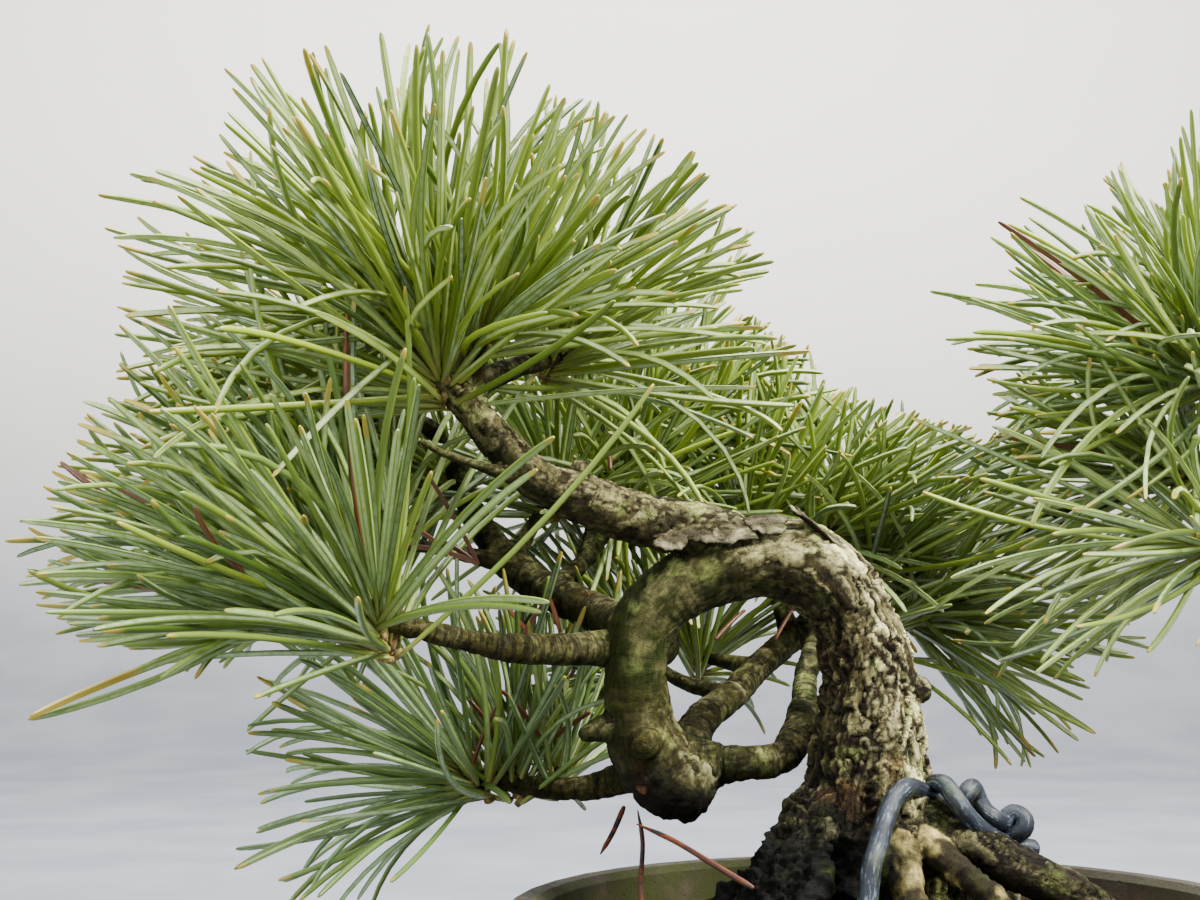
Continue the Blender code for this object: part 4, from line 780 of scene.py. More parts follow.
def clay_finish(name, colours):
    """Fired clay with sandy grain, a smoke-darkened rim, green growth down the inner wall and lime streaks outside.

    Inside and outside come from how far the surface faces the pot's axis, and the rim from its height."""
    g = Graph(name)
    where = g.vector_maths("SUBTRACT", g.place(), tuple(PLACE))
    height = g.add("ShaderNodeSeparateXYZ", values={0: where}, output=2)
    outward = g.vector_maths("NORMALIZE", g.stretched(where, (1.0, 1.0, 0.0)))
    facing = g.vector_maths("DOT_PRODUCT", g.add("ShaderNodeNewGeometry", output=1), outward, output=1)
    inner = facing.eased(0.1, -0.3) * height.eased(8.0, 12.0)
    rim = height.eased(TABLE_RIM - 3.5, TABLE_RIM - 0.6)
    sand = g.noise(where, 1.4, 6.0, 0.7)
    cloud = g.noise(where, 0.09, 4.0, 0.6)
    base = g.mix(cloud.eased(0.35, 0.65), tuple(colours.clay), linear(66, 56, 50))
    base = g.mix(sand.eased(0.35, 0.75, 0.0, 0.4), base, linear(116, 100, 86))
    pores = g.cells(where, 0.7).eased(0.22, 0.08)
    base = g.mix(pores * 0.6, base, linear(36, 30, 27))
    base = g.mix(rim * cloud.eased(0.3, 0.6, 0.5, 0.9), base, linear(62, 58, 50))
    growth = (
        g.noise(where, 0.14, 5.0, 0.65).eased(0.3, 0.52) * inner
        * g.add("ShaderNodeSeparateXYZ", values={0: where}).eased(24.0, -6.0, 0.3, 1.0)
    )
    base = g.mix(growth * 0.9, base, linear(62, 68, 28))
    streaks = g.noise(g.stretched(where, (0.5, 0.5, 0.05)), 1.0, 4.0, 0.6).eased(0.56, 0.74) * (1 - inner)
    base = g.mix(streaks * 0.35, base, linear(150, 142, 130))
    low = height.eased(12.0, 3.0)
    base = g.mix(low * cloud.eased(0.4, 0.6) * 0.5, base, linear(60, 62, 46))
    bump = sand * 0.22 - pores * 0.12
    return g.finish(base, sand.eased(0.3, 0.7, 0.72, 0.9), bump, Specular_IOR_Level=0.3)


def grain_finish(name):
    """Grains of grit, each its own colour, rough all over."""
    g = Graph(name)
    tint = g.attribute("grain_colour")
    pits = g.noise(g.place(), 2.6, 5.0, 0.7)
    colour = g.dimmed(tint, pits.eased(0.25, 0.75, 0.55, 1.35))
    return g.finish(colour, pits.eased(0.3, 0.7, 0.88, 0.98), pits * 0.3, Specular_IOR_Level=0.2)


def soil_finish(name):
    """Dark crumbly potting mix with needle litter and thin green growth, and painted shade in the gaps between
    crumbs.
    """
    g = Graph(name)
    where = g.place()
    crumbs = g.cells(where, 0.55)
    part = g.parts(g.cells(where, 0.55, output="Color"))[0]
    dust = g.noise(where, 2.2, 6.0, 0.7)
    colour = g.ramp(
        part,
        [(0.0, linear(38, 28, 20)), (0.4, linear(70, 54, 38)), (0.7, linear(104, 82, 56)), (1.0, linear(60, 58, 50))]
    )
    colour = g.mix(g.noise(where, 0.11, 4.0, 0.6).eased(0.48, 0.62, 0.0, 0.7), colour, linear(66, 74, 32))
    # Painted shade: near-black in the sunken gaps between crumbs
    colour = g.mix(crumbs.eased(0.35, 0.8, 0.0, 0.85), colour, linear(20, 16, 12))
    return g.finish(colour, dust.eased(0.3, 0.7, 0.9, 1.0), dust * 0.3 - crumbs * 0.7, Specular_IOR_Level=0.15)


def wire_finish(name, colours):
    """Dark anodised aluminium, dulled, with pale scratches along it and green stains in patches."""
    g = Graph(name)
    along = g.attribute("wire_place", "Vector")
    where = g.place()
    cloud = g.noise(where, 0.35, 4.0, 0.6)
    base = g.mix(cloud.eased(0.35, 0.7), tuple(colours.wire), linear(26, 34, 44))
    scratch = g.noise(g.stretched(along, (0.45, 3.2, 3.2)), 1.0, 6.0, 0.75)
    dust = g.noise(where, 2.6, 5.0, 0.7)
    scuff = scratch.eased(0.52, 0.62) * g.noise(where, 0.5, 3.0, 0.6).eased(0.36, 0.56) * dust.eased(0.35, 0.6)
    base = g.mix(scuff * 0.8, base, linear(116, 132, 148))
    base = g.mix(g.noise(where, 0.28, 3.0, 0.6).eased(0.52, 0.66, 0.0, 0.4), base, linear(66, 76, 50))
    cut = g.add("ShaderNodeSeparateXYZ", values={0: along}).eased(0.9, 0.5)
    base = g.mix(cut * 0.8, base, linear(170, 176, 168))
    rough = g.mix(scuff, (0.5, 0.5, 0.5, 1.0), (0.72, 0.72, 0.72, 1.0))
    return g.finish(base, rough, scratch * 0.08 + dust * 0.05, Specular_IOR_Level=0.4, Metallic=0.2)


def dead_needle_finish(name):
    """Red-brown dry needles with dark bands, and a painted highlight along one side."""
    g = Graph(name)
    around = g.parts(g.attribute("needle_marks"))[0]
    where = g.place()
    patches = g.noise(where, 0.3, 3.0, 0.6)
    colour = g.mix(patches.eased(0.35, 0.65), linear(60, 24, 10), linear(92, 42, 16))
    bands = g.noise(g.stretched(where, (0.1, 0.1, 0.5)), 1.0, 3.0, 0.6).eased(0.54, 0.6)
    colour = g.mix(bands, colour, linear(34, 24, 20))
    # Painted highlight: a lighter stripe along one side of each needle
    colour = g.mix(around.eased(0.05, 0.2, 0.35, 0.0), colour, linear(112, 72, 34))
    return g.finish(colour, patches.eased(0.3, 0.7, 0.5, 0.7), Specular_IOR_Level=0.35)


def plain_finish(name, dark, pale, roughness, grain=1.0, metallic=0.0):
    """Two close tones in fine noise, for small moulded or drawn pieces."""
    g = Graph(name)
    where = g.place()
    fine = g.noise(where, grain, 5.0, 0.65)
    colour = g.mix(fine.eased(0.35, 0.65), linear(*dark), linear(*pale))
    return g.finish(
        colour, fine.eased(0.3, 0.7, roughness, min(1.0, roughness + 0.15)), fine * 0.04, Metallic=metallic
    )


# ------------------------------------------------------------------ wood


def limb_samples(names, step=0.5):
    """Centres, frames, radii, lengths along, flakiness and ringedness of closely spaced points on these limbs."""
    found = {key: [] for key in ("centre", "tangent", "side", "other", "radius", "along", "flaky", "ringed", "limb")}
    for number, name in names.items():
        rows, flaky, ringed = route_of(name)
        flaky = np.asarray(TRUNK_FLAKY, float) if name == "trunk" else np.full(len(rows), float(flaky))
        curve = curve_through(np.column_stack([rows, flaky]), step)
        tangents, side, other = frames_along(curve[:, :3])
        along = lengths_along(curve[:, :3])
        for key, values in (
            ("centre", curve[:, :3]), ("tangent", tangents), ("side", side), ("other", other),
            ("radius", curve[:, 3]), ("along", along), ("flaky", curve[:, 4]),
            ("ringed", np.full(len(curve), ringed)), ("limb", np.full(len(curve), number)),
        ):
            found[key].append(values)
    return {key: np.concatenate(values) for key, values in found.items()}


def route_of(name):
    """A limb's or twig's rows, and how flaky and how ringed its bark is."""
    if name in LIMBS:
        rows, flaky, ringed = LIMBS[name]
        return np.asarray(rows, float), flaky, ringed
    return np.asarray(TWIGS[name], float), 0.25, 0.7


def nearest_sample(points, samples):
    """For each point, the sample whose ball it is nearest to."""
    best = np.empty(len(points), int)
    for start in range(0, len(points), 6000):
        block = points[start : start + 6000]
        far = np.linalg.norm(block[:, None] - samples["centre"][None], axis=2) - samples["radius"]
        best[start : start + 6000] = far.argmin(axis=1)
    return best


def blended_surface(parts, grid, rounds):
    """One skin over overlapping tubes: they are remade on an even grid and the creases between them eased."""
    points, faces = joined(parts)
    mesh = build_mesh("wood_draft", points / MM - PLACE, faces)
    draft = bpy.data.objects.new("wood_draft", mesh)
    bpy.context.scene.collection.objects.link(draft)
    remesh = draft.modifiers.new("skin", "REMESH")
    remesh.mode, remesh.voxel_size, remesh.use_smooth_shade = "VOXEL", grid, True
    ease = draft.modifiers.new("ease", "SMOOTH")
    ease.factor, ease.iterations = 0.5, rounds
    made = bpy.data.meshes.new_from_object(draft.evaluated_get(bpy.context.evaluated_depsgraph_get()))
    bpy.data.objects.remove(draft, do_unlink=True)
    points, normals = np.empty((2, len(made.vertices) * 3), np.float32)
    made.vertices.foreach_get("co", points)
    made.vertices.foreach_get("normal", normals)
    return made, points.reshape(-1, 3).astype(float), normals.reshape(-1, 3).astype(float)


def carve(points, samples, depth):
    """How far each point of the skin moves in or out as bark, and what the colours need to know about it.

    Each point gets a place in its limb laid straight: length along, and the two offsets from the axis.
    Old bark is cells of plates parted by cracks, and on each plate lie thin flakes: smooth noise cut into steps,
    with a lifted lip at each step and a foot below it, which the colours darken as painted shade under the lip. Young
    bark is fine rings across the limb."""
    nearest = nearest_sample(points, samples)
    near = {key: values[nearest] for key, values in samples.items()}
    offset = points - near["centre"]
    straight = np.stack([
        near["along"] + np.einsum("ij,ij->i", offset, near["tangent"]) + 61.0 * near["limb"],
        np.einsum("ij,ij->i", offset, near["side"]),
        np.einsum("ij,ij->i", offset, near["other"]),
    ], axis=1)
    flaky, ringed, radius = near["flaky"], near["ringed"], near["radius"]
    lumps = fractal(points * 0.16, 3, 5)
    warp = np.stack([fractal(points * 0.4, 2, 40 + 5 * k) for k in range(3)], axis=1)
    first, second, number = cells(straight * (0.13, 0.3, 0.3) + 0.4 * warp, 3)
    crack = smooth(0.1, 0.02, second - first)
    sheet = 2.6 * fractal(straight * (0.13, 0.3, 0.3) + 0.3 * warp + 9.0 * number[:, None], 2, 9)
    level = np.floor(sheet)
    part = sheet - level
    layer = level + smooth(0.0, 0.22, part)
    lip = smooth(0.08, 0.2, part) * smooth(0.5, 0.26, part)
    foot = np.maximum(smooth(0.84, 0.98, part), smooth(0.1, 0.02, part))
    tier = lattice(level + 64, np.floor(number * 997), level * 0, 17)
    grain = fractal(points * 0.9, 3, 21)
    bark = flaky * (0.24 * (number - 0.5) - 0.42 * crack + 0.17 * layer + 0.14 * lip - 0.08 * foot)
    rings = fractal(straight * (1.25, 0.2, 0.2) + 0.35 * warp, 3, 33)
    young = ringed * (0.34 * rings - 0.3 * smooth(-0.15, -0.55, rings)) + (1 - flaky) * 0.08 * grain
    scale = np.clip(radius / 4.5, 0.2, 1.1)
    move = depth * scale * (bark + young) + 0.28 * np.clip(radius / 5, 0, 1.6) * lumps
    # Crust of old bark and moss over the left of the root base
    low = smooth(50, 38, points[:, 2]) * smooth(30, 14, np.hypot(points[:, 0] + 6, points[:, 1]))
    left = smooth(2, -8, points[:, 0])
    crust = np.clip(low * (0.45 + 0.55 * left) * smooth(-0.7, 0.3, fractal(points * 0.22, 3, 50) + 0.5 * left), 0, 1)
    crumbs = fractal(points * 0.5, 4, 55)
    move = move + crust * (1.1 * crumbs + 0.9 * np.abs(noise(points * 1.2, 58)) - 0.2)
    return dict(
        move=move, straight=straight, flaky=flaky, ringed=ringed, radius=radius, crack=crack * flaky,
        foot=foot * flaky, lip=lip * flaky, level=level, tier=tier, crust=crust, rings=rings, limb=near["limb"],
    )


def bark_colours(points, normals, carved, limb_names):
    """Colours by place: olive-brown young wood, grey plates, pale flakes, dark cracks, lichen and a black crust, with
    painted light and shade: paler toward the light and on the trunk's right, darker on undersides, on the trunk's
    left and under each flake's lip.
    """
    keys = ("flaky", "ringed", "radius", "crack", "foot", "lip", "level", "tier", "crust", "rings", "limb")
    flaky, ringed, radius, crack, foot, lip, level, tier, crust, rings, limb = (carved[key] for key in keys)
    tone = {key: np.array(linear(*value)[:3]) for key, value in {
        "young": (54, 52, 11), "olive": (40, 50, 6), "grey": (104, 98, 62), "purple": (70, 56, 36),
        "plate": (122, 114, 70), "dark": (16, 13, 7), "pale": (244, 236, 170), "lichen_toward_light": (164, 176, 96),
        "orange": (92, 58, 24), "black": (6, 6, 3), "moss": (38, 46, 12), "root": (150, 138, 84),
        "root_dark_and_shade": (34, 28, 14), "cut": (110, 76, 50),
    }.items()}

    def on(*names):
        return np.isin(limb, [k for k, name in limb_names.items() if name.startswith(names)])

    broad = fractal(points * 0.12, 3, 71)
    medium = fractal(points * 0.42, 3, 77)
    # lit: how far each face turns towards the light, up and to the right; the marks below that read it are painted
    # light or shade
    lit = normals @ unit(np.array([0.5, -0.35, 0.8]))
    colour = 0.66 * mixed(tone["young"], tone["olive"], smooth(-0.4, 0.6, broad))
    # Grey over the thicker young wood, shown mostly on faces toward the light: partly its own grey, partly painted
    # highlight
    colour = mixed(
        colour, tone["grey"], smooth(0.0, 0.8, medium) * 0.45 * np.clip(radius / 3.4, 0, 1) * smooth(-0.2, 0.6, lit)
    )
    old = 0.8 * mixed(tone["purple"] * 0.6, tone["plate"], smooth(0.2, 0.85, tier))
    # Higher flake layers are paler; on the upper limb the plates are also brightened on faces toward the light, as
    # painted highlight
    old = old * (
        (0.68 + 0.28 * np.clip(level + 1, 0, 2)) * (1 + 0.6 * on("upper_limb") * smooth(0.0, 0.7, lit))
    )[:, None]
    colour = mixed(colour, old, flaky)
    on_trunk = on("trunk", "bark_knob")
    # The trunk's faces turned right, 38 to 80 mm up, where painted light makes the pale flakes and lips show more
    lit_right_side = (
        on_trunk * smooth(0.0, 0.7, normals[:, 0]) * smooth(38, 52, points[:, 2]) * smooth(80, 72, points[:, 2])
    )
    flakes = smooth(0.55, 0.62, tier) * smooth(-1.5, 0.0, level + medium)
    # How far each face turns towards the light, for painted highlights
    toward_light = smooth(0.0, 0.7, lit)
    # Pale flakes: the bark's own pale flakes, shown far more on faces toward the light and on the trunk's right as
    # painted highlight
    colour = mixed(colour, tone["pale"], np.clip(flaky * flakes * (0.06 + 0.22 * toward_light + 0.7 * lit_right_side), 0, 0.95))
    # Pale lips of the flakes, mostly where lit: painted highlight on their edges
    colour = mixed(colour, tone["pale"] * 0.8, 0.6 * lip * (0.1 + 0.9 * np.maximum(lit_right_side, 0.7 * toward_light)))
    rusty = (
        on_trunk * smooth(56, 50, points[:, 2]) * smooth(40, 45, points[:, 2])
        * smooth(0.1, 0.5, fractal(points * 0.3, 2, 83))
    )
    colour = mixed(colour, tone["orange"], 0.5 * rusty)
    # Lichen, kept to faces toward the light: partly real lichen, partly painted light
    lichen_toward_light = smooth(0.28, 0.5, fractal(points * 0.26, 3, 91)) * smooth(-0.2, 0.3, medium) * smooth(-0.4, 0.5, lit)
    colour = mixed(colour, tone["lichen_toward_light"], 0.5 * lichen_toward_light * np.clip(flaky + 0.3, 0, 1))
    # Dark olive patches on faces turned down: partly moss, partly painted shade under the wood
    underside_moss_and_shade = smooth(0.0, 0.5, fractal(points * 0.2, 3, 97)) * smooth(0.3, -0.6, normals[:, 2])
    colour = mixed(colour, tone["moss"] * 0.7, 0.6 * underside_moss_and_shade)
    # Near-black on the down-facing faces round the junction of the low limbs and the trunk: painted shade under the
    # junction
    junction_underside_shade = smooth(
        9, 5, np.linalg.norm((points - (-27, 3, 47.5)) * (1, 0.8, 1.5), axis=1)
    ) * smooth(0.3, -0.5, normals[:, 2])
    colour = mixed(colour, tone["black"] * 2, 0.95 * junction_underside_shade)
    # Pale roots turn dark in patches, and on faces turned away from the light as painted shade
    roots = mixed(
        tone["root"], tone["root_dark_and_shade"], smooth(-0.5, 0.2, medium + 0.4 * broad + 0.5 * smooth(0.5, -0.3, lit))
    )
    colour = np.where(on("pale_root")[:, None], roots, colour)
    dark_root = on("right_root", "left_root", "back_root", "right_back_root", "left_back_root")
    colour = mixed(colour, tone["dark"], 0.75 * dark_root + 0.7 * on("bark_knob"))
    # Darker towards the bottom of the trunk, and more so on faces turned left, away from the light, which is painted
    # shade
    colour = mixed(
        colour, tone["dark"],
        0.7 * on_trunk * smooth(60, 46, points[:, 2]) * (0.5 + 0.5 * smooth(0.6, -0.2, normals[:, 0]))
    )
    colour = mixed(colour, tone["moss"], 0.6 * dark_root * smooth(0.15, 0.5, fractal(points * 0.25, 3, 99)))
    colour = mixed(colour, tone["cut"], 0.8 * on("cut_stub") * smooth(50.5, 49.3, points[:, 2]))
    # Dark cracks, and the dark foot under each flake's lifted lip, which is painted shade
    colour = mixed(colour, tone["dark"], np.clip(0.95 * crack + 0.75 * foot, 0, 1))
    colour = mixed(colour, tone["dark"], ringed * 0.55 * smooth(-0.1, -0.5, rings))
    colour = mixed(
        colour, mixed(tone["black"], tone["moss"] * 0.8, smooth(0.45, 0.9, medium)), np.clip(crust * 1.35, 0, 1)
    )
    return np.clip(colour, 0, 1)


STUB_LENGTH = 5.5  # how far into the next piece a limb's foot is carried on


def flared(rows, length=4.0, gain=0.45):
    """A limb's rows with the radius swollen towards its base, as e to the minus distance."""
    curve = curve_through(rows, 0.6)
    along = lengths_along(curve[:, :3])
    curve[:, 3] *= 1 + gain * np.exp(-along / length)
    return curve


def make_wood_piece(name, limbs, stubs, grid, depth, finish, replaces=()):
    """One carved skin over these limbs.

    Limbs in stubs give only their first rows, so that a later piece grows out of them."""
    numbers = dict(enumerate([*limbs, *stubs]))
    parts = []
    for limb in limbs:
        rows = route_of(limb)[0]
        curve = curve_through(rows, 0.6) if limb == "trunk" else flared(rows)
        parts.append(sweep(curve, 40 if rows[:, 3].max() > 6 else 24))
    for limb in stubs:
        rows = flared(route_of(limb)[0])
        cut = max(4, int(np.searchsorted(lengths_along(rows[:, :3])[1:], STUB_LENGTH)))
        rows = rows[:cut].copy()
        rows[:, 3] *= np.linspace(1.0, 0.9, len(rows))
        parts.append(sweep(rows, 24))
    mesh, points, normals = blended_surface(parts, grid, 5)
    samples = limb_samples(numbers)
    carved = carve(points, samples, depth)
    colours = bark_colours(points, normals, carved, numbers)
    placed = (points + normals * carved["move"][:, None] + PLACE) * MM
    mesh.vertices.foreach_set("co", placed.astype(np.float32).ravel())
    mesh.update()
    add_attribute(mesh, "bark_place", carved["straight"])
    ones = np.ones(len(points))
    relief = np.clip(1 - carved["crack"] - 0.5 * carved["foot"], 0, 1)
    add_attribute(mesh, "bark_marks", np.column_stack([carved["flaky"], carved["ringed"], relief, ones]))
    add_attribute(mesh, "bark_colour", np.column_stack([colours, ones]))
    mesh.materials.clear()
    return add_piece(name, mesh, finish, replaces)


NEAR_WOOD = [
    "trunk", "cone_stub", "callus", "cut_stub", "bark_knob", "curl_stub", "right_root", "pale_root_a", "pale_root_b",
    "pale_root_c", "left_root", "back_root_a", "back_root_b", "right_back_root", "left_back_root",
]
FAR_WOOD = [name for name in LIMBS if name not in NEAR_WOOD]


def plate_mesh(middle, long_side, short_side, half, curl, seed):
    """A ragged flake of bark: rings from the middle to a rim whose reach varies with noise, above and below.

    The flake bends down over the limb as the square of its short side, and its rim lifts with noise."""
    rings, turns = 9, 56
    long_side = unit(long_side)
    short_side = unit(np.asarray(short_side, float) - long_side * np.dot(short_side, long_side))
    up = np.cross(long_side, short_side)
    up = up if up[2] > 0 else -up
    angle = np.arange(turns) * 2 * math.pi / turns
    circle = np.column_stack([np.cos(angle), np.sin(angle), np.zeros(turns)])
    reach = (
        1 + 0.26 * noise(circle * 1.7, seed) + 0.2 * noise(circle * 4.5, seed + 1)
        + 0.12 * noise(circle * 11, seed + 2)
    )
    square = 1 / np.maximum(np.abs(np.cos(angle)), np.abs(np.sin(angle))) ** 0.5
    part = np.linspace(1.0, 0.06, rings)[:, None]
    a = part * reach * square * np.cos(angle) * half[0]
    b = part * reach * square * np.sin(angle) * half[1]
    flat = np.stack([a, b, np.zeros_like(a)], axis=-1)
    relief = 0.3 * fractal(flat * 0.6, 3, seed + 5) + 0.14 * noise(flat * 2.0, seed + 9)
    drop = -0.09 * b**2 + curl * part**3 * (0.25 + 0.6 * noise(flat * 0.35, seed + 13))
    thick = 0.34 * (1 - 0.6 * part**4)
    sheets = []
    for sign in (1, -1):
        height = drop + relief * (1 if sign > 0 else 0.5) + sign * thick
        sheets.append(
            np.asarray(middle) + a[..., None] * long_side + b[..., None] * short_side + height[..., None] * up
        )
    loop = np.concatenate([sheets[0][::-1], sheets[1]])
    points = loop.reshape(-1, 3)
    count = 2 * rings
    faces = [grid_faces(count, turns), end_faces(count, turns)]
    top = np.repeat(np.arange(count) < rings, turns)
    flat_all = np.concatenate([flat[::-1], flat]).reshape(-1, 3)
    return points, faces, top, flat_all + seed * 13.0


def make_plates(finish):
    """The lifted plates as one piece: pale and grey above with green growth, dark below as painted shade."""
    parts, tops, flats = [], [], []
    for row in PLATES:
        points, faces, top, flat = plate_mesh(*row)
        parts.append((points, faces))
        tops.append(top)
        flats.append(flat)
    points, faces = joined(parts)
    top, flat = np.concatenate(tops), np.vstack(flats)
    pale, grey, dark, green = (
        np.array(linear(*c)[:3]) for c in ((134, 128, 98), (66, 60, 42), (30, 22, 14), (92, 98, 54))
    )
    colour = mixed(grey, pale, smooth(-0.2, 0.6, fractal(flat * 0.5, 3, 4)))
    colour = mixed(colour, green, 0.4 * smooth(0.1, 0.6, fractal(flat * 0.35, 2, 14)))
    # The undersides of the plates are painted dark as shade
    colour = np.where(top[:, None], colour, dark)
    ones = np.ones(len(points))
    marks = np.column_stack([0.5 * ones, 0.2 * ones, top.astype(float), ones])
    mesh = build_mesh(
        "bark_plates", points, faces,
        {"bark_place": flat, "bark_marks": marks, "bark_colour": np.column_stack([colour, ones])}
    )
    return add_piece("bark_plates", mesh, finish)


# ------------------------------------------------------------------ needles

# One needle's cross-section, a fifth of a circle: two flat inner faces and a round back. The last number is where
# each corner lies from the inner edge (0) over the outer edges (0.5) to the back (1).
SECTION = np.array([(-0.46, 0.0, 0.0), (0.08, -0.5, 0.5), (0.4, -0.22, 1.0), (0.4, 0.22, 1.0), (0.08, 0.5, 0.5)])
ALONG = np.array([0, 0.03, 0.12, 0.27, 0.42, 0.57, 0.72, 0.85, 0.94, 0.985, 1.0])
TAPER = np.array([0.55, 0.8, 0.96, 1, 1, 1, 1, 0.95, 0.86, 0.66, 0.36])
HOOK = 1.45  # how much of a needle's bend lies near its tip
DRY_WIDTH = 0.8  # width of a dry needle as a share of a live one's


def needle_line(base, start, lean, bend, length, shares):
    """Points at these shares of each needle.

    At share t it points along start turned towards lean by bend times t to the power HOOK, summed in short steps."""
    start = unit(start)
    lean = square_to(lean, start)
    steps = 24
    turn = bend[:, None] * ((np.arange(steps) + 0.5) / steps) ** HOOK
    forward, sideways = (
        np.pad(np.cumsum(part, axis=1) / steps, ((0, 0), (1, 0))) for part in (np.cos(turn), np.sin(turn))
    )
    low = np.minimum((shares * steps).astype(int), steps - 1)
    past = shares * steps - low
    forward, sideways = (part[:, low] * (1 - past) + part[:, low + 1] * past for part in (forward, sideways))
    return base[:, None] + length[:, None, None] * (
        forward[..., None] * start[:, None] + sideways[..., None] * lean[:, None]
    )


def from_front(points):
    """Where points are seen from the front on the upright plane through the pot's middle, and how deep they lie."""
    depth = points[..., 1] - FRONT[1]
    share = -FRONT[1] / depth
    return FRONT[0] + (points[..., 0] - FRONT[0]) * share, FRONT[2] + (points[..., 2] - FRONT[2]) * share, depth


def inside_outline(x, z):
    """True inside either outline: a level line to the right crosses its edges an odd number of times."""
    found = np.zeros(x.shape, bool)
    for outline in OUTLINES:
        corners = np.array(outline)
        odd = np.zeros(x.shape, bool)
        for (x0, z0), (x1, z1) in zip(corners, np.roll(corners, -1, axis=0)):
            crosses = (z0 > z) != (z1 > z)
            odd ^= crosses & (x < x0 + (z - z0) * (x1 - x0) / (z1 - z0 if z1 != z0 else 1e-9))
        found |= odd
    return found


def plucked(shape, rng):
    """Which needles stay, and their lengths: those past the crown's outline are shortened to it or dropped, and most
    of those that hide a limb from the front are dropped."""
    shares = np.linspace(0.1, 1.0, 32)
    points = needle_line(shape["base"], shape["start"], shape["lean"], shape["bend"], shape["length"], shares)
    x, z, depth = from_front(points)
    inside = inside_outline(x, z)
    outside = ~inside
    reach = np.where(outside.any(axis=1), shares[outside.argmax(axis=1)], 1.0)
    keep = reach > 0.62 + 0.2 * rng.random(len(reach))
    shortened = np.where(reach < 1, reach * rng.uniform(0.94, 1.02, len(reach)), 1.0)
    draw = rng.random(len(reach))
    hides = np.zeros(len(reach))
    for limb, share in SHOWN.items():
        rows = curve_through(route_of(limb)[0], 1.5)
        rows = rows[rows[:, 2] > 44]
        wood_x, wood_z, wood_depth = from_front(rows[:, :3])
        radius = rows[:, 3] * -FRONT[1] / wood_depth + 0.3
        near = (x[..., None] - wood_x) ** 2 + (z[..., None] - wood_z) ** 2 < radius**2
        near &= depth[..., None] < wood_depth - 1.0
        near[:, :2] = False
        hides = np.maximum(hides, share * near.any(axis=(1, 2)))
    return keep & (draw >= hides), shape["length"] * shortened


def needle_mesh(base, start, lean, bend, length, width, roll):
    """Points and faces of many needles at once.

    A needle's section keeps one shape along its line, turned by roll and scaled by the taper."""
    start = unit(start)
    lean = square_to(np.asarray(lean, float), start)
    across = np.cross(start, lean)
    centre = needle_line(base, start, lean, bend, length, ALONG)
    turn = bend[:, None] * ALONG**HOOK
    inward = -np.sin(turn)[..., None] * start[:, None] + np.cos(turn)[..., None] * lean[:, None]
    u = SECTION[:, 0] * np.cos(roll)[:, None] - SECTION[:, 1] * np.sin(roll)[:, None]
    v = SECTION[:, 0] * np.sin(roll)[:, None] + SECTION[:, 1] * np.cos(roll)[:, None]
    size = (width[:, None] * TAPER)[..., None, None]
    points = centre[:, :, None] + size * (
        u[:, None, :, None] * inward[:, :, None] + v[:, None, :, None] * across[:, None, None]
    )
    count, rows, sides = len(base), len(ALONG), len(SECTION)
    first = grid_faces(rows, sides)
    shift = (np.arange(count) * rows * sides)[:, None, None]
    quads = (first[None] + shift).reshape(-1, 4)
    caps = (end_faces(rows, sides)[None] + shift).reshape(-1, sides)
    column = np.tile(np.arange(sides), rows - 1)
    flat = np.isin(column, (0, sides - 1))
    smoothed = np.concatenate([np.tile(~flat, count), np.ones(len(caps), bool)])
    return points.reshape(-1, 3), [quads, caps], smoothed


def needle_marks(count, tint, age, blue, light, speck):
    """Per point: around, along, tint and age in one colour; blue share, pale share and tip share in another."""
    shape = (count, len(ALONG), len(SECTION))

    def spread(values):
        return np.broadcast_to(np.asarray(values, float)[:, None, None], shape)

    around = np.broadcast_to(SECTION[:, 2], shape)
    along = np.broadcast_to(ALONG[:, None], shape)
    marks = np.stack([around, along, spread(tint), spread(age)], axis=-1).reshape(-1, 4)
    kind = np.stack([spread(blue), spread(light), spread(speck), np.ones(shape)], axis=-1).reshape(-1, 4)
    return marks, kind


def add_needles(piece, shape, looks, width, finish, replaces=()):
    """Links these needles as one piece, their widths times this one in mm."""
    shape["width"] = shape["width"] * width
    points, faces, smoothed = needle_mesh(**shape)
    marks, kind = needle_marks(len(shape["base"]), **looks)
    mesh = build_mesh(piece, points, faces, {"needle_marks": marks, "needle_kind": kind}, smoothed)
    add_piece(piece, mesh, finish, replaces)


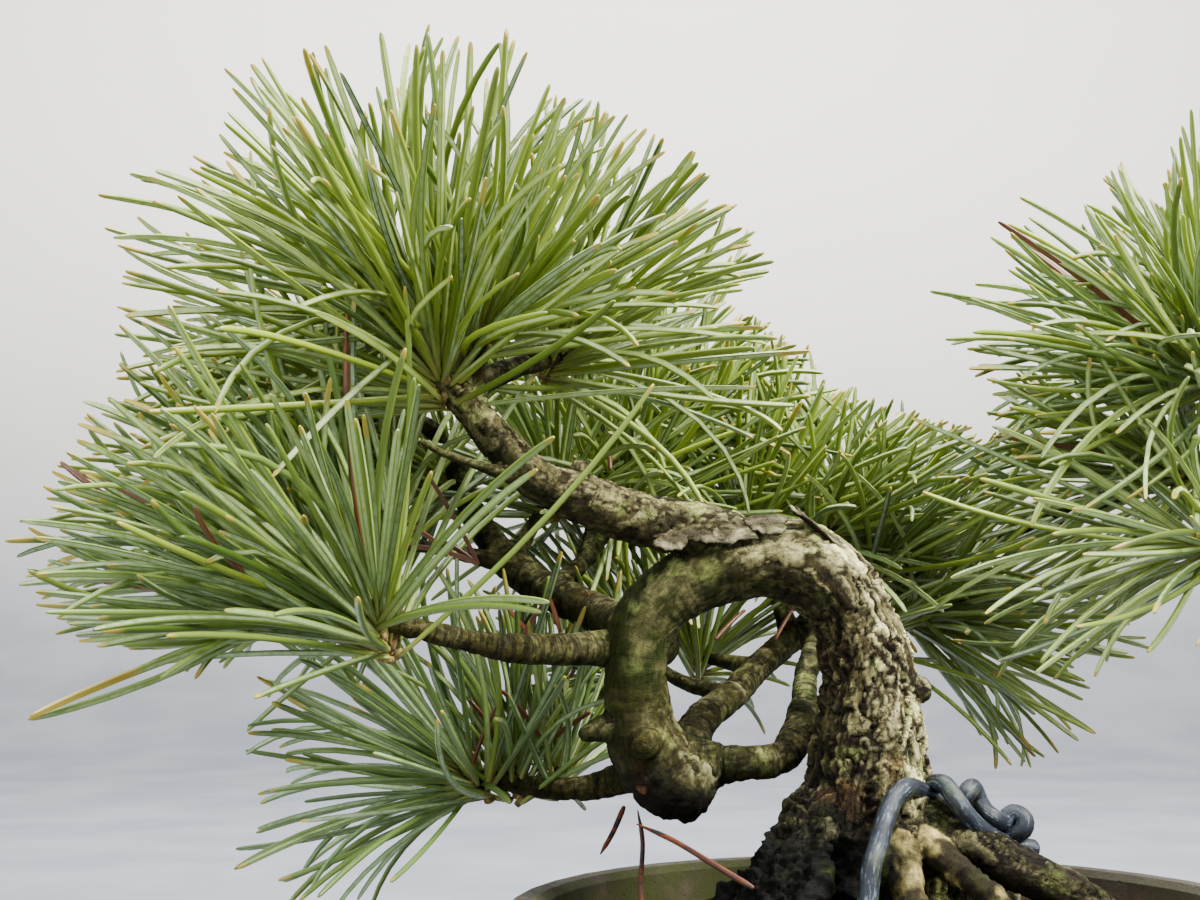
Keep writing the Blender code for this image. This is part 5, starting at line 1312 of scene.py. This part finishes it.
def tuft_needles(name, number, density):
    """Bundles of five needles spiral down the last few mm of the shoot, the lower ones leaning further out."""
    direction, length, bundles, widest, blue = TUFTS[name]
    rows = route_of(TUFT_ON_LIMB.get(name, name))[0]
    tip = rows[-1, :3]
    axis = unit(direction)
    rng = np.random.default_rng(500 + number)
    count = max(3, int(round(bundles * density)))
    share = (np.arange(count) + 0.5) / count
    turn = np.arange(count) * 2.39996 + rng.uniform(0, 6.28)
    lean_out = np.radians(8 + (widest - 8) * share**0.85 + rng.normal(0, 6, count))
    side = unit(np.cross(axis, (0.2, 0.97, 0.13)))
    other = np.cross(axis, side)
    radial = np.cos(turn)[:, None] * side + np.sin(turn)[:, None] * other
    bundle = np.cos(lean_out)[:, None] * axis + np.sin(lean_out)[:, None] * radial
    root = tip + axis * (1.2 - 6.5 * share)[:, None] + radial * 0.75
    five = np.arange(5)
    bundle_five = np.repeat(bundle, 5, axis=0)
    apart = np.tile(five * 2 * math.pi / 5, count) + np.repeat(rng.uniform(0, 6.28, count), 5)
    first = unit(np.cross(bundle_five, (0.3, 0.1, 0.95)))
    second = np.cross(bundle_five, first)
    around = np.cos(apart)[:, None] * first + np.sin(apart)[:, None] * second
    opening = np.radians(rng.uniform(5, 19, 5 * count))[:, None]
    start = unit(np.cos(opening) * bundle_five + np.sin(opening) * around)
    bend = rng.normal(0.34, 0.3, 5 * count) + np.repeat(rng.normal(0.1, 0.24, count), 5)
    lean = 0.3 * axis + np.repeat(rng.normal(0, 0.55, (count, 3)), 5, axis=0) + 0.5 * around + (0, 0, -0.45)
    reach = length * (rng.uniform(0.84, 1.06, 5 * count)) * np.repeat(rng.uniform(0.76, 1.08, count), 5) * 1.08
    base = np.repeat(root, 5, axis=0) + around * 0.38
    tint = np.clip(rng.normal(0.5, 0.22, 5 * count), 0, 1)
    chance = rng.random(5 * count)
    age = np.where(
        chance < 0.012 * (blue > 0.25), 1.0, np.where(chance < 0.3, rng.uniform(0.02, 0.12, 5 * count), 0.0)
    )
    blue_share = np.clip(blue + rng.normal(0, 0.15, 5 * count), 0, 1)
    light = rng.uniform(0.35, 1.0, 5 * count)
    speck = rng.random(5 * count)
    width = rng.uniform(0.86, 1.08, 5 * count)
    # The inner edge of each needle faces the middle of its bundle
    lean_flat = square_to(lean, start)
    across = np.cross(start, lean_flat)
    roll = np.arctan2(np.einsum("ij,ij->i", around, across), np.einsum("ij,ij->i", around, lean_flat))
    shape = dict(base=base, start=start, lean=lean, bend=bend, length=reach, width=width, roll=roll)
    looks = dict(tint=tint, age=age, blue=blue_share, light=light, speck=speck)
    keep, shape["length"] = plucked(shape, rng)
    shape, looks = ({key: values[keep] for key, values in group.items()} for group in (shape, looks))
    if name in HEROES:
        more_shape, more_looks = outline_needles(name, tip, axis, blue, rng)
        shape = {key: np.concatenate([values, more_shape[key]]) for key, values in shape.items()}
        looks = {key: np.concatenate([values, more_looks[key]]) for key, values in looks.items()}
    alive = keep.reshape(count, 5).any(axis=1)
    return shape, looks, (root[alive], bundle[alive])


def arched_needles(base, tips, bend, age, blue, rng):
    """An arc over each chord from foot to tip, humped upwards by its bend."""
    count = len(base)
    chord = tips - base
    far = np.linalg.norm(chord, axis=1)
    along = chord / far[:, None]
    up = unit(np.array([0, 0, 1.0]) - along * along[:, 2:3] + rng.normal(0, 0.12, (count, 3)))
    rise = bend / (1 + HOOK)
    start = np.cos(rise)[:, None] * along + np.sin(rise)[:, None] * up
    length = far * (1 + bend**2 / 24)
    shape = dict(
        base=base, start=start, lean=-up, bend=bend, length=length, width=rng.uniform(0.95, 1.1, count),
        roll=rng.uniform(2.6, 3.7, count)
    )
    looks = dict(
        tint=rng.uniform(0.3, 0.8, count), age=age, blue=np.full(count, blue), light=rng.uniform(0.4, 0.9, count),
        speck=rng.random(count)
    )
    return shape, looks


def outline_needles(name, tip, axis, blue, rng):
    """The tuft's long needles, from its shoot to their tips."""
    rows = np.array(HEROES[name], float)
    base = tip + rng.normal(0, 0.6, (len(rows), 3)) - 1.5 * rng.random((len(rows), 1)) * axis
    return arched_needles(base, rows[:, :3], rows[:, 3], rows[:, 4], blue, rng)


def sheath_mesh(root, bundle, rng):
    """A short papery sleeve round the foot of each bundle: a tapered tube of six sides."""
    rows = np.array([0.0, 0.5, 1.0])
    reach = np.array([0.46, 0.52, 0.4])
    angles = np.arange(6) * math.pi / 3
    side = unit(np.cross(bundle, (0.3, 0.1, 0.95)))
    other = np.cross(bundle, side)
    long = rng.uniform(1.2, 2.4, len(root))
    centre = root[:, None] + (rows[None, :] * long[:, None] - 0.6)[..., None] * bundle[:, None]
    ring = np.cos(angles)[None, :, None] * side[:, None] + np.sin(angles)[None, :, None] * other[:, None]
    points = centre[:, :, None] + reach[None, :, None, None] * ring[:, None]
    first = grid_faces(3, 6)
    shift = (np.arange(len(root)) * 18)[:, None, None]
    caps = (end_faces(3, 6)[None] + shift).reshape(-1, 6)
    return points.reshape(-1, 3), [(first[None] + shift).reshape(-1, 4), caps]


# ------------------------------------------------------------------ the stage, lights and camera


def stage_mesh():
    """A floor that runs back and turns up into a wall: a line, a quarter circle and a line, drawn out sideways."""
    back, bend, wide, high, front = 620.0, 420.0, 2600.0, 2200.0, -1500.0
    turn = np.radians(np.linspace(0, 90, 40))
    y = np.concatenate([[front], back + bend * np.sin(turn), [back + bend]])
    z = np.concatenate([[0], bend * (1 - np.cos(turn)), [high]])
    x = np.linspace(-wide, wide, 2)
    points = np.stack(np.broadcast_arrays(x[None, :], y[:, None], z[:, None]), axis=-1).reshape(-1, 3)
    row = np.arange(len(y) - 1)
    faces = np.stack([2 * row, 2 * row + 1, 2 * row + 3, 2 * row + 2], axis=-1)
    return points - PLACE * (0, 0, 1), [faces]


def stage_finish():
    """Pale matt paper, cooler and a little darker on the floor than up the wall; the darker floor is painted shade.
    """
    g = Graph("stage_paper")
    height = g.add("ShaderNodeSeparateXYZ", values={0: g.place()}, output=2)
    fibre = g.noise(g.place(), 0.02, 3.0, 0.5)
    # From a darker, cooler floor up to the pale wall: painted shade on the floor
    colour = g.mix(height.eased(-20.0, 480.0), linear(100, 104, 112), linear(236, 233, 226))
    colour = g.mix(fibre.eased(0.3, 0.7, 0.0, 0.04), colour, linear(255, 255, 255))
    return g.finish(colour, fibre.eased(0.3, 0.7, 0.9, 0.95), Specular_IOR_Level=0.1)


def add_light(name, at, target, size, power, colour):
    """A square area light at a place, facing its target."""
    data = bpy.data.lights.new(name, "AREA")
    data.shape, data.size, data.energy, data.color = "SQUARE", size * MM, power, colour
    light = bpy.data.objects.new(name, data)
    bpy.context.scene.collection.objects.link(light)
    light.location = (np.asarray(at, float) + PLACE) * MM
    aim = np.asarray(target, float) - np.asarray(at, float)
    light.rotation_euler = look_rotation(aim)


def look_rotation(direction):
    """The turn that points a light or camera, which look down their own -Z, along this direction."""
    return Vector(direction).to_track_quat("-Z", "Y").to_euler()


CAMERA_PITCH = 6.79  # degrees above level
LENS, SENSOR = 48.0, 36.0
# Area lights: place, what they face (mm), side of the square (mm), power (W), colour
TREE_MIDDLE = (-25, 10, 80)
LIGHTS = {
    "key_light": ((380, -260, 560), TREE_MIDDLE, 300, 24.0, (1.0, 0.98, 0.94)),
    "fill_light": ((-520, -380, 260), TREE_MIDDLE, 520, 5.0, (0.93, 0.97, 1.0)),
    "top_light": ((-60, 120, 560), TREE_MIDDLE, 520, 11.0, (1.0, 1.0, 1.0)),
    "wall_light": ((0, 260, 900), (0, 1040, 420), 900, 26.0, (1.0, 0.985, 0.96)),
}
SKY_COLOUR, SKY_STRENGTH = (0.93, 0.96, 1.0, 1.0), 0.85


# ------------------------------------------------------------------ operators


class PINE_OT_stage(bpy.types.Operator):
    """Adds the floor, the lights and the camera"""

    bl_idname = "pine.stage"
    bl_label = "Stage"

    def execute(self, context):
        points, faces = stage_mesh()
        mesh = build_mesh("stage_floor", points, faces)
        floor = bpy.data.objects.new("stage_floor", mesh)
        context.scene.collection.objects.link(floor)
        mesh.materials.append(stage_finish())
        world = context.scene.world or bpy.data.worlds.new("World")
        context.scene.world = world
        world.use_nodes = True
        background = next(node for node in world.node_tree.nodes if node.type == "BACKGROUND")
        background.inputs["Color"].default_value = SKY_COLOUR
        background.inputs["Strength"].default_value = SKY_STRENGTH
        for name, row in LIGHTS.items():
            add_light(name, *row)
        data = bpy.data.cameras.new("camera")
        data.sensor_width, data.lens, data.clip_start = SENSOR, LENS, 0.005
        camera = bpy.data.objects.new("camera", data)
        context.scene.collection.objects.link(camera)
        camera.location = (FRONT + PLACE) * MM
        camera.rotation_euler = (math.radians(90 + CAMERA_PITCH), 0, 0)
        context.scene.camera = camera
        return {"FINISHED"}


class PINE_OT_wood(bpy.types.Operator):
    """Builds the roots, trunk, limbs and twigs with carved bark"""

    bl_idname = "pine.wood"
    bl_label = "Wood"

    def execute(self, context):
        sizes = context.scene.pine_sizes
        grid, depth = sizes.bark_grid / MM, sizes.bark_depth / MM
        finish = bark_finish()
        stubs = ["upper_limb", "middle_limb", "back_left_limb", "low_left_limb", "curl_limb", "back_right_limb"]
        make_wood_piece("trunk_and_roots", NEAR_WOOD, stubs, grid, depth, finish, ["pine_wood"])
        make_wood_piece("limbs", [*FAR_WOOD, *TWIGS], [], grid, depth, finish)
        make_plates(finish)
        return {"FINISHED"}


class PINE_OT_needles(bpy.types.Operator):
    """Builds every tuft of needles on the end of its shoot"""

    bl_idname = "pine.needles"
    bl_label = "Needles"

    def execute(self, context):
        sizes, colours = context.scene.pine_sizes, context.scene.pine_colours
        finish = needle_finish("needles", colours)
        sheath = plain_finish("sheaths", (78, 56, 26), (132, 112, 56), 0.7, 2.0)
        width = sizes.needle_width / MM
        roots, bundles = [], []
        for number, name in enumerate(TUFTS):
            shape, looks, (root, bundle) = tuft_needles(name, number, sizes.needle_density)
            add_needles("tuft_" + name, shape, looks, width, finish, ["needles_" + name])
            roots.append(root)
            bundles.append(bundle)
        feet, tips, bend = (np.array(column, float) for column in zip(*CAUGHT))
        shape, looks = arched_needles(feet, tips, bend, np.ones(len(feet)), 0.0, np.random.default_rng(31))
        add_needles("caught_needles", shape, looks, width * DRY_WIDTH, finish)
        points, faces = sheath_mesh(np.vstack(roots), np.vstack(bundles), np.random.default_rng(77))
        add_piece("needle_sheaths", build_mesh("needle_sheaths", points, faces), sheath)
        return {"FINISHED"}


def inner_wall(height):
    """Inner radius of the pot at this height."""
    part = np.clip((np.asarray(height, float) - POT_FLOOR_TOP) / (TABLE_RIM - POT_FLOOR_TOP), 0, 1)
    return FLOOR_RADIUS + (RIM_RADIUS - RIM_WALL - FLOOR_RADIUS) * np.sin(0.5 * math.pi * part) ** 0.8


def soil_height(x, y):
    """The soil is mounded against the root base and lies lower at the wall."""
    far = np.hypot(x + 3, y) / (inner_wall(TABLE_RIM) - 8.6)
    mound = 26.5 + 5.0 * np.clip(1 - far, 0, 1) ** 0.8
    return mound + 0.5 * (np.sin(0.55 * x + 1.3) * np.cos(0.5 * y) + 0.5 * np.sin(1.1 * y + 0.4 * x))


def refinish(node, finish):
    """Puts a material on a CAD node in place of its own."""
    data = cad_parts[node].data
    data.materials.clear()
    data.materials.append(finish)


class PINE_OT_pot(bpy.types.Operator):
    """Gives the pot its fired-clay finish"""

    bl_idname = "pine.pot"
    bl_label = "Pot"

    def execute(self, context):
        refinish("pot", clay_finish("clay", context.scene.pine_colours))
        return {"FINISHED"}


class PINE_OT_soil(bpy.types.Operator):
    """Lays the soil and scatters grains of grit over it"""

    bl_idname = "pine.soil"
    bl_label = "Soil"

    def execute(self, context):
        turns, rings = 140, 60
        angle = np.arange(turns) * 2 * math.pi / turns
        reach = (inner_wall(26.0) - 0.45) * np.linspace(1.0, 0.01, rings)[:, None] ** 0.8
        x, y = reach * np.cos(angle), reach * np.sin(angle)
        top = soil_height(x, y)
        flat = np.stack([x, y, np.zeros_like(x)], axis=-1)
        top = top + 0.5 * fractal(flat * 0.45, 4, 61) - 0.2
        walls = []
        for height in (10.0, 12.0, 16.0, 20.0, 24.0):
            ring = inner_wall(height) - 0.6
            walls.append(np.stack([ring * np.cos(angle), ring * np.sin(angle), np.full(turns, height)], axis=-1))
        points = np.concatenate([np.stack(walls), np.stack([x, y, top], axis=-1)]).reshape(-1, 3)
        count = len(walls) + rings
        mesh = build_mesh("soil_bed", points, [grid_faces(count, turns), end_faces(count, turns)])
        add_piece("soil_bed", mesh, soil_finish("soil"), ["soil"])
        self.scatter(context.scene.pine_sizes.grit)
        return {"FINISHED"}

    def scatter(self, count):
        """Grains: an icosahedron for each, stretched and turned at random and half sunk in the soil."""
        if not count:
            return
        rng = np.random.default_rng(9)
        gold = (1 + math.sqrt(5)) / 2
        shape = unit([(-1, gold, 0), (1, gold, 0), (-1, -gold, 0), (1, -gold, 0), (0, -1, gold), (0, 1, gold),
                      (0, -1, -gold), (0, 1, -gold), (gold, 0, -1), (gold, 0, 1), (-gold, 0, -1), (-gold, 0, 1)])
        faces = np.array([
            (0, 11, 5), (0, 5, 1), (0, 1, 7), (0, 7, 10), (0, 10, 11), (1, 5, 9), (5, 11, 4), (11, 10, 2),
            (10, 7, 6), (7, 1, 8), (3, 9, 4), (3, 4, 2), (3, 2, 6), (3, 6, 8), (3, 8, 9), (4, 9, 5), (2, 4, 11),
            (6, 2, 10), (8, 6, 7), (9, 8, 1),
        ])
        far = (inner_wall(26.0) - 1.8) * np.sqrt(rng.random(count))
        turn = rng.uniform(0, 2 * math.pi, count)
        x, y = far * np.cos(turn), far * np.sin(turn)
        size = 0.55 + 1.0 * rng.random(count) ** 2.2
        centre = np.column_stack([x, y, soil_height(x, y) + 0.15 * size])
        turned, _ = np.linalg.qr(rng.normal(size=(count, 3, 3)))
        turned *= np.sign(np.linalg.det(turned))[:, None, None]
        stretched = shape[None] * rng.uniform(0.7, 1.2, (count, 1, 3)) * rng.uniform(0.85, 1.12, (count, 12, 1))
        points = centre[:, None] + size[:, None, None] * np.einsum("nij,nkj->nki", turned, stretched)
        tones = np.array(
            [
                linear(*tone)[:3]
                for tone in ((150, 118, 78), (110, 82, 54), (70, 54, 40), (158, 150, 138), (96, 92, 84), (54, 44, 34))
            ]
        )
        pick = rng.choice(len(tones), count, p=(0.22, 0.22, 0.2, 0.1, 0.12, 0.14))
        tint = tones[pick] * rng.uniform(0.75, 1.2, (count, 1))
        colour = np.repeat(np.column_stack([tint, np.ones(count)]), 12, axis=0)
        every = (faces[None] + (np.arange(count) * 12)[:, None, None]).reshape(-1, 3)
        mesh = build_mesh("grit", points.reshape(-1, 3), [every], {"grain_colour": colour}, False)
        add_piece("grit", mesh, grain_finish("grit"))


class PINE_OT_wire(bpy.types.Operator):
    """Bends the tie wire over the roots and under the pot"""

    bl_idname = "pine.wire"
    bl_label = "Tie wire"

    def execute(self, context):
        radius = context.scene.pine_sizes.wire_radius / MM
        halves = []
        for over, (x, y), inward in ((TIE_FRONT, TIE_HOLES[0], 1), (TIE_BACK, TIE_HOLES[1], -1)):
            under = FOOT_HEIGHT - 0.3 - radius
            middle = 0.5 * (over[-1][2] + POT_FLOOR_TOP)
            down = [
                (x, y, middle + 2.5), (x, y, 12.0), (x, y, 7.0), (x, y + 0.8 * inward, under + 0.9),
                (x + 0.2 * inward, y + 2.6 * inward, under),
            ]
            halves.append(np.array([*over, *down], float))
        rows = np.vstack([KNOT_FRONT, halves[0], halves[1][::-1], KNOT_BACK[::-1]])
        curve = curve_through(rows, 0.45)
        wobble = 1 + 0.02 * noise(curve * 0.5, 4)
        points, faces = sweep(np.column_stack([curve, radius * wobble]), 16)
        along = lengths_along(curve)
        along = np.concatenate([[along[0]] * 3, along, [along[-1]] * 3])
        angles = np.arange(16) * math.pi / 8
        place = np.stack(
            np.broadcast_arrays(along[:, None], np.cos(angles)[None], np.sin(angles)[None]), axis=-1
        ).reshape(-1, 3)
        mesh = build_mesh("tie_wire_bent", points, faces, {"wire_place": place})
        add_piece("tie_wire_bent", mesh, wire_finish("wire", context.scene.pine_colours), ["tie_wire"])
        return {"FINISHED"}


class PINE_OT_fallen(bpy.types.Operator):
    """Lays the fallen needles"""

    bl_idname = "pine.fallen"
    bl_label = "Fallen needles"

    def execute(self, context):
        finish = dead_needle_finish("fallen_needles")
        for name, rows in FALLEN.items():
            curve = curve_through(rows, 0.8)
            share = np.linspace(0, 1, len(curve))
            radius = 0.38 * np.interp(share, [0, 0.05, 0.8, 1], [0.7, 1, 0.85, 0.25])
            points, faces = sweep(np.column_stack([curve, radius]), 8)
            count = len(curve) + 6
            around = np.tile(np.abs(np.arange(8) / 4 - 1), count)
            along = np.repeat(np.linspace(0, 1, count), 8)
            ones = np.ones(len(points))
            mesh = build_mesh(
                name + "_dry", points, faces, {"needle_marks": np.column_stack([around, along, 0.5 * ones, ones])}
            )
            add_piece(name + "_dry", mesh, finish, [name])
        return {"FINISHED"}


class PINE_OT_drainage(bpy.types.Operator):
    """Gives the drainage meshes and their clips their finishes"""

    bl_idname = "pine.drainage"
    bl_label = "Drainage meshes"

    def execute(self, context):
        plastic = plain_finish("mesh_plastic", (26, 28, 27), (52, 54, 50), 0.55, 1.4)
        drawn = plain_finish("clip_wire", (120, 122, 124), (168, 170, 172), 0.35, 2.0, 1.0)
        for side in ("left", "right"):
            refinish("drainage_mesh_" + side, plastic)
            refinish("mesh_clip_" + side, drawn)
        return {"FINISHED"}


STEPS = (
    PINE_OT_stage, PINE_OT_pot, PINE_OT_soil, PINE_OT_drainage,
    PINE_OT_wire, PINE_OT_wood, PINE_OT_needles, PINE_OT_fallen,
)


class PINE_PT_panel(bpy.types.Panel):
    bl_idname = "PINE_PT_panel"
    bl_label = "Pine"
    bl_space_type = "VIEW_3D"
    bl_region_type = "UI"
    bl_category = "Pine"

    def draw(self, context):
        for group in (context.scene.pine_sizes, context.scene.pine_colours):
            for key in group.bl_rna.properties.keys():
                if key not in ("rna_type", "name"):
                    self.layout.prop(group, key)
        for step in STEPS:
            self.layout.operator(step.bl_idname)


CLASSES = (PineSizes, PineColours, *STEPS, PINE_PT_panel)


def register():
    for made in CLASSES:
        bpy.utils.register_class(made)
    bpy.types.Scene.pine_sizes = bpy.props.PointerProperty(type=PineSizes)
    bpy.types.Scene.pine_colours = bpy.props.PointerProperty(type=PineColours)


def unregister():
    del bpy.types.Scene.pine_sizes, bpy.types.Scene.pine_colours
    for made in reversed(CLASSES):
        bpy.utils.unregister_class(made)


def main():
    register()
    for step in STEPS:
        group, call = step.bl_idname.split(".")
        getattr(getattr(bpy.ops, group), call)()


if __name__ == "__main__":
    main()
